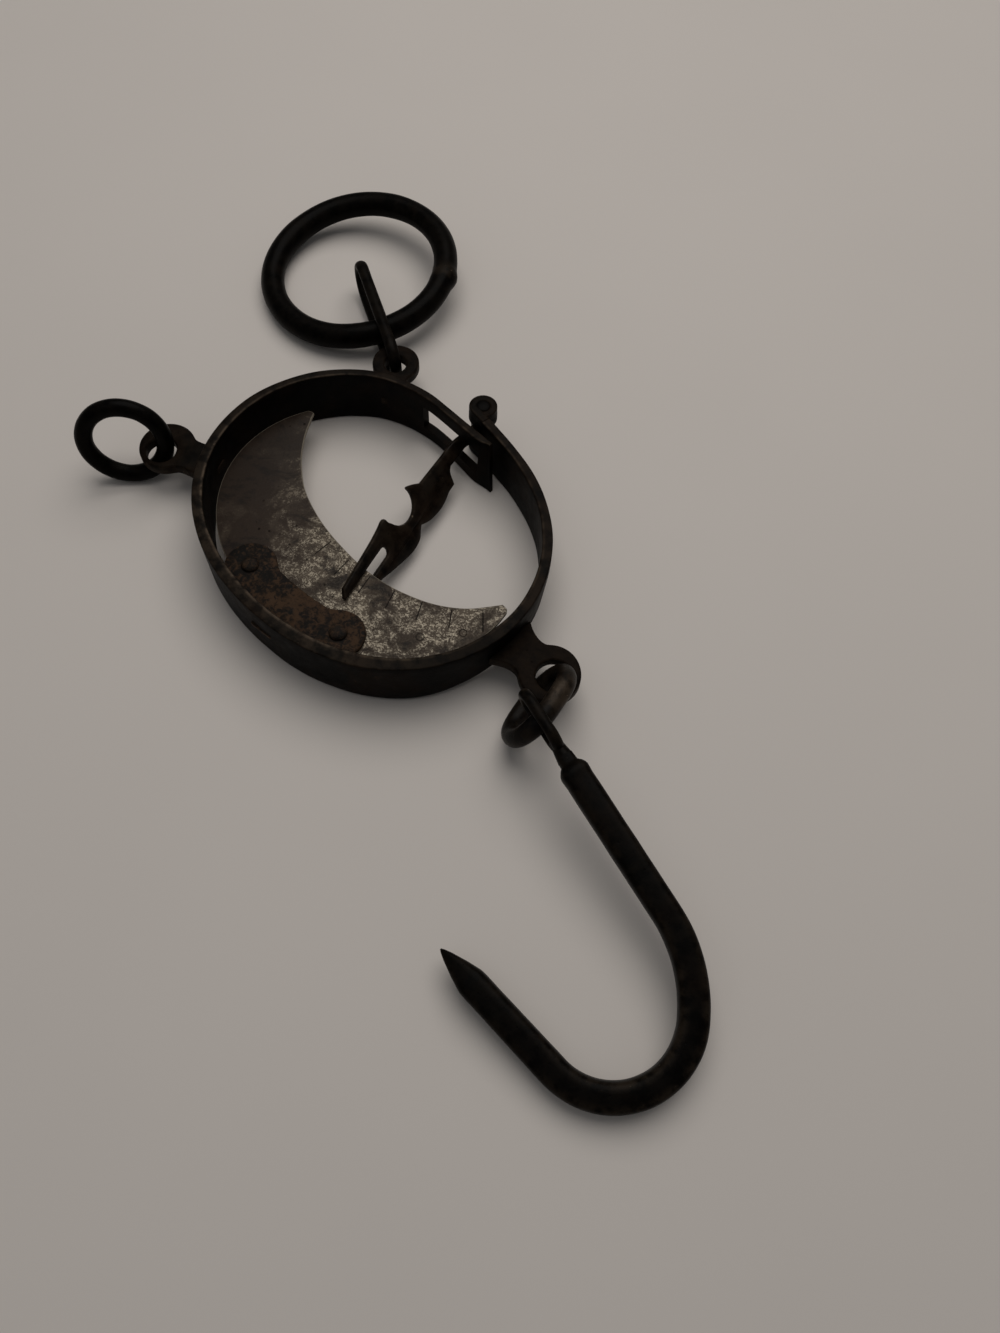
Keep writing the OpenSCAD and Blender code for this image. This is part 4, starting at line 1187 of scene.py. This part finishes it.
def add_lamp(name, at, to, size, power, colour):
    """Adds a round lamp that looks from one place to another."""
    light = bpy.data.lights.new(name, "AREA")
    light.shape, light.size, light.energy, light.color = "DISK", size, power, colour
    made = add_to_scene(name, light)
    made.location = at
    made.rotation_euler = (Vector(to) - Vector(at)).to_track_quat("-Z", "Y").to_euler()


def add_camera():
    """Adds the camera, pitched below level and rolled a little."""
    pitch, roll = math.radians(CAMERA_PITCH), math.radians(CAMERA_ROLL)
    right, ahead = Vector((1, 0, 0)), Vector((0, math.cos(pitch), -math.sin(pitch)))
    up = Vector((0, math.sin(pitch), math.cos(pitch)))
    x = right * math.cos(roll) + up * math.sin(roll)
    y = up * math.cos(roll) - right * math.sin(roll)
    data = bpy.data.cameras.new("camera")
    data.sensor_width, data.lens = SENSOR, SENSOR * FOCAL_PX / LONG_SIDE_PX
    data.clip_start = 0.01
    made = add_to_scene("camera", data)
    made.matrix_world = Matrix.Translation(Vector(CAMERA_AT)) @ Matrix((x, y, -ahead)).transposed().to_4x4()
    bpy.context.scene.camera = made


# Operators


class ScaleStep(bpy.types.Operator):
    """Shared settings of the scale's operators"""

    bl_options = {"REGISTER", "UNDO"}


class SCALE_OT_band(ScaleStep):
    """Make the ring spring's band with its tongue and rolled knuckle, and the hinge pin"""

    bl_idname = "scale.band"
    bl_label = "Band and pin"

    def execute(self, context):
        tones = context.scene.scale_colours
        build_band(context.scene.scale_sizes, forged("band iron", tones))
        build_pin(forged("pin iron", tones))
        return {"FINISHED"}


class SCALE_OT_pointer(ScaleStep):
    """Make the forked pointer on the hinge pin"""

    bl_idname = "scale.pointer"
    bl_label = "Pointer"

    def execute(self, context):
        build_pointer(forged("pointer iron", context.scene.scale_colours))
        return {"FINISHED"}


class SCALE_OT_dial(ScaleStep):
    """Make the crescent dial, its bracket and its rivets"""

    bl_idname = "scale.dial"
    bl_label = "Dial and bracket"

    def execute(self, context):
        tones = context.scene.scale_colours
        build_dial(dial_steel("dial steel", tones))
        rusty = forged("rusty iron", tones)
        build_bracket(rusty)
        build_rivets(rusty)
        return {"FINISHED"}


class SCALE_OT_lugs(ScaleStep):
    """Make the three lugs that are tenoned through the band"""

    bl_idname = "scale.lugs"
    bl_label = "Lugs"

    def execute(self, context):
        iron = forged("lug iron", context.scene.scale_colours)
        for lug in LUGS:
            build_lug(lug, context.scene.scale_sizes, iron)
        return {"FINISHED"}


class SCALE_OT_rings(ScaleStep):
    """Make the big ring, the small ring and the two links"""

    bl_idname = "scale.rings"
    bl_label = "Rings and links"

    def execute(self, context):
        sizes, tones = context.scene.scale_sizes, context.scene.scale_colours
        black = forged("ring iron", tones)
        lap, n = sizes.weld_lump * 1000, sizes.ring_steps
        big, small, upper, lower = Shell(), Shell(), Shell(), Shell()
        add_ring(big, BIG_RING_R, BIG_BAR_R, BIG_RING_TURNS, BIG_RING_AT, n, 0.25, 51, lap)
        big.make("big_ring", "suspension_ring", "suspension_ring", "black_iron", black, 60)
        add_ring(small, SMALL_RING_R, SMALL_BAR_R, SMALL_RING_TURNS, SMALL_RING_AT, n, 0.12, 61)
        small.make("side_ring", "small_ring", "small_ring", "black_iron", black, 60)
        add_link(upper, UPPER_LINK)
        upper.make("upper_link", "top_link", "top_link", "black_iron", black, 60)
        add_link(lower, LOWER_LINK)
        lower.make("lower_link", "hook_link", "hook_link", "worn_iron", forged("link iron", tones), 60)
        return {"FINISHED"}


class SCALE_OT_hook(ScaleStep):
    """Make the load hook"""

    bl_idname = "scale.hook"
    bl_label = "Hook"

    def execute(self, context):
        build_hook(forged("hook iron", context.scene.scale_colours))
        return {"FINISHED"}


class SCALE_OT_stage(ScaleStep):
    """Make the pale table, the soft lights and the camera"""

    bl_idname = "scale.stage"
    bl_label = "Stage"

    def execute(self, context):
        scene = context.scene
        add_table(table_top(scene.scale_colours))
        world = bpy.data.worlds.new("soft room")
        world.use_nodes = True
        background = world.node_tree.nodes["Background"]
        background.inputs["Color"].default_value = ROOM_COLOUR
        background.inputs["Strength"].default_value = ROOM_LIGHT
        scene.world = world
        add_lamp("ceiling", (0.12, 0.46, 1.05), (0.02, 0.02, 0.0), 1.2, 6.9, (1.0, 0.97, 0.93))
        add_lamp("fill", (-0.5, -0.3, 1.3), (0.0, 0.0, 0.0), 1.0, 0.8, (0.96, 0.98, 1.0))
        add_camera()
        scene.view_settings.view_transform = "Standard"
        return {"FINISHED"}


class SCALE_PT_panel(bpy.types.Panel):
    """Lists the scale's steps, sizes and colours"""

    bl_idname = "SCALE_PT_panel"
    bl_label = "Hanging scale"
    bl_space_type = "VIEW_3D"
    bl_region_type = "UI"
    bl_category = "Scale"

    def draw(self, context):
        for step in STEPS:
            self.layout.operator(step.bl_idname)
        for group in (context.scene.scale_sizes, context.scene.scale_colours):
            for key in group.__annotations__:
                self.layout.prop(group, key)


STEPS = (
    SCALE_OT_band, SCALE_OT_pointer, SCALE_OT_dial, SCALE_OT_lugs, SCALE_OT_rings, SCALE_OT_hook,
    SCALE_OT_stage,
)
CLASSES = (ScaleSizes, ScaleColours, *STEPS, SCALE_PT_panel)


def register():
    for made in CLASSES:
        bpy.utils.register_class(made)
    bpy.types.Scene.scale_sizes = PointerProperty(type=ScaleSizes)
    bpy.types.Scene.scale_colours = PointerProperty(type=ScaleColours)


def unregister():
    del bpy.types.Scene.scale_colours
    del bpy.types.Scene.scale_sizes
    for made in reversed(CLASSES):
        bpy.utils.unregister_class(made)


def main():
    register()
    for step in STEPS:
        group, name = step.bl_idname.split(".")
        getattr(getattr(bpy.ops, group), name)()


if __name__ == "__main__":
    main()
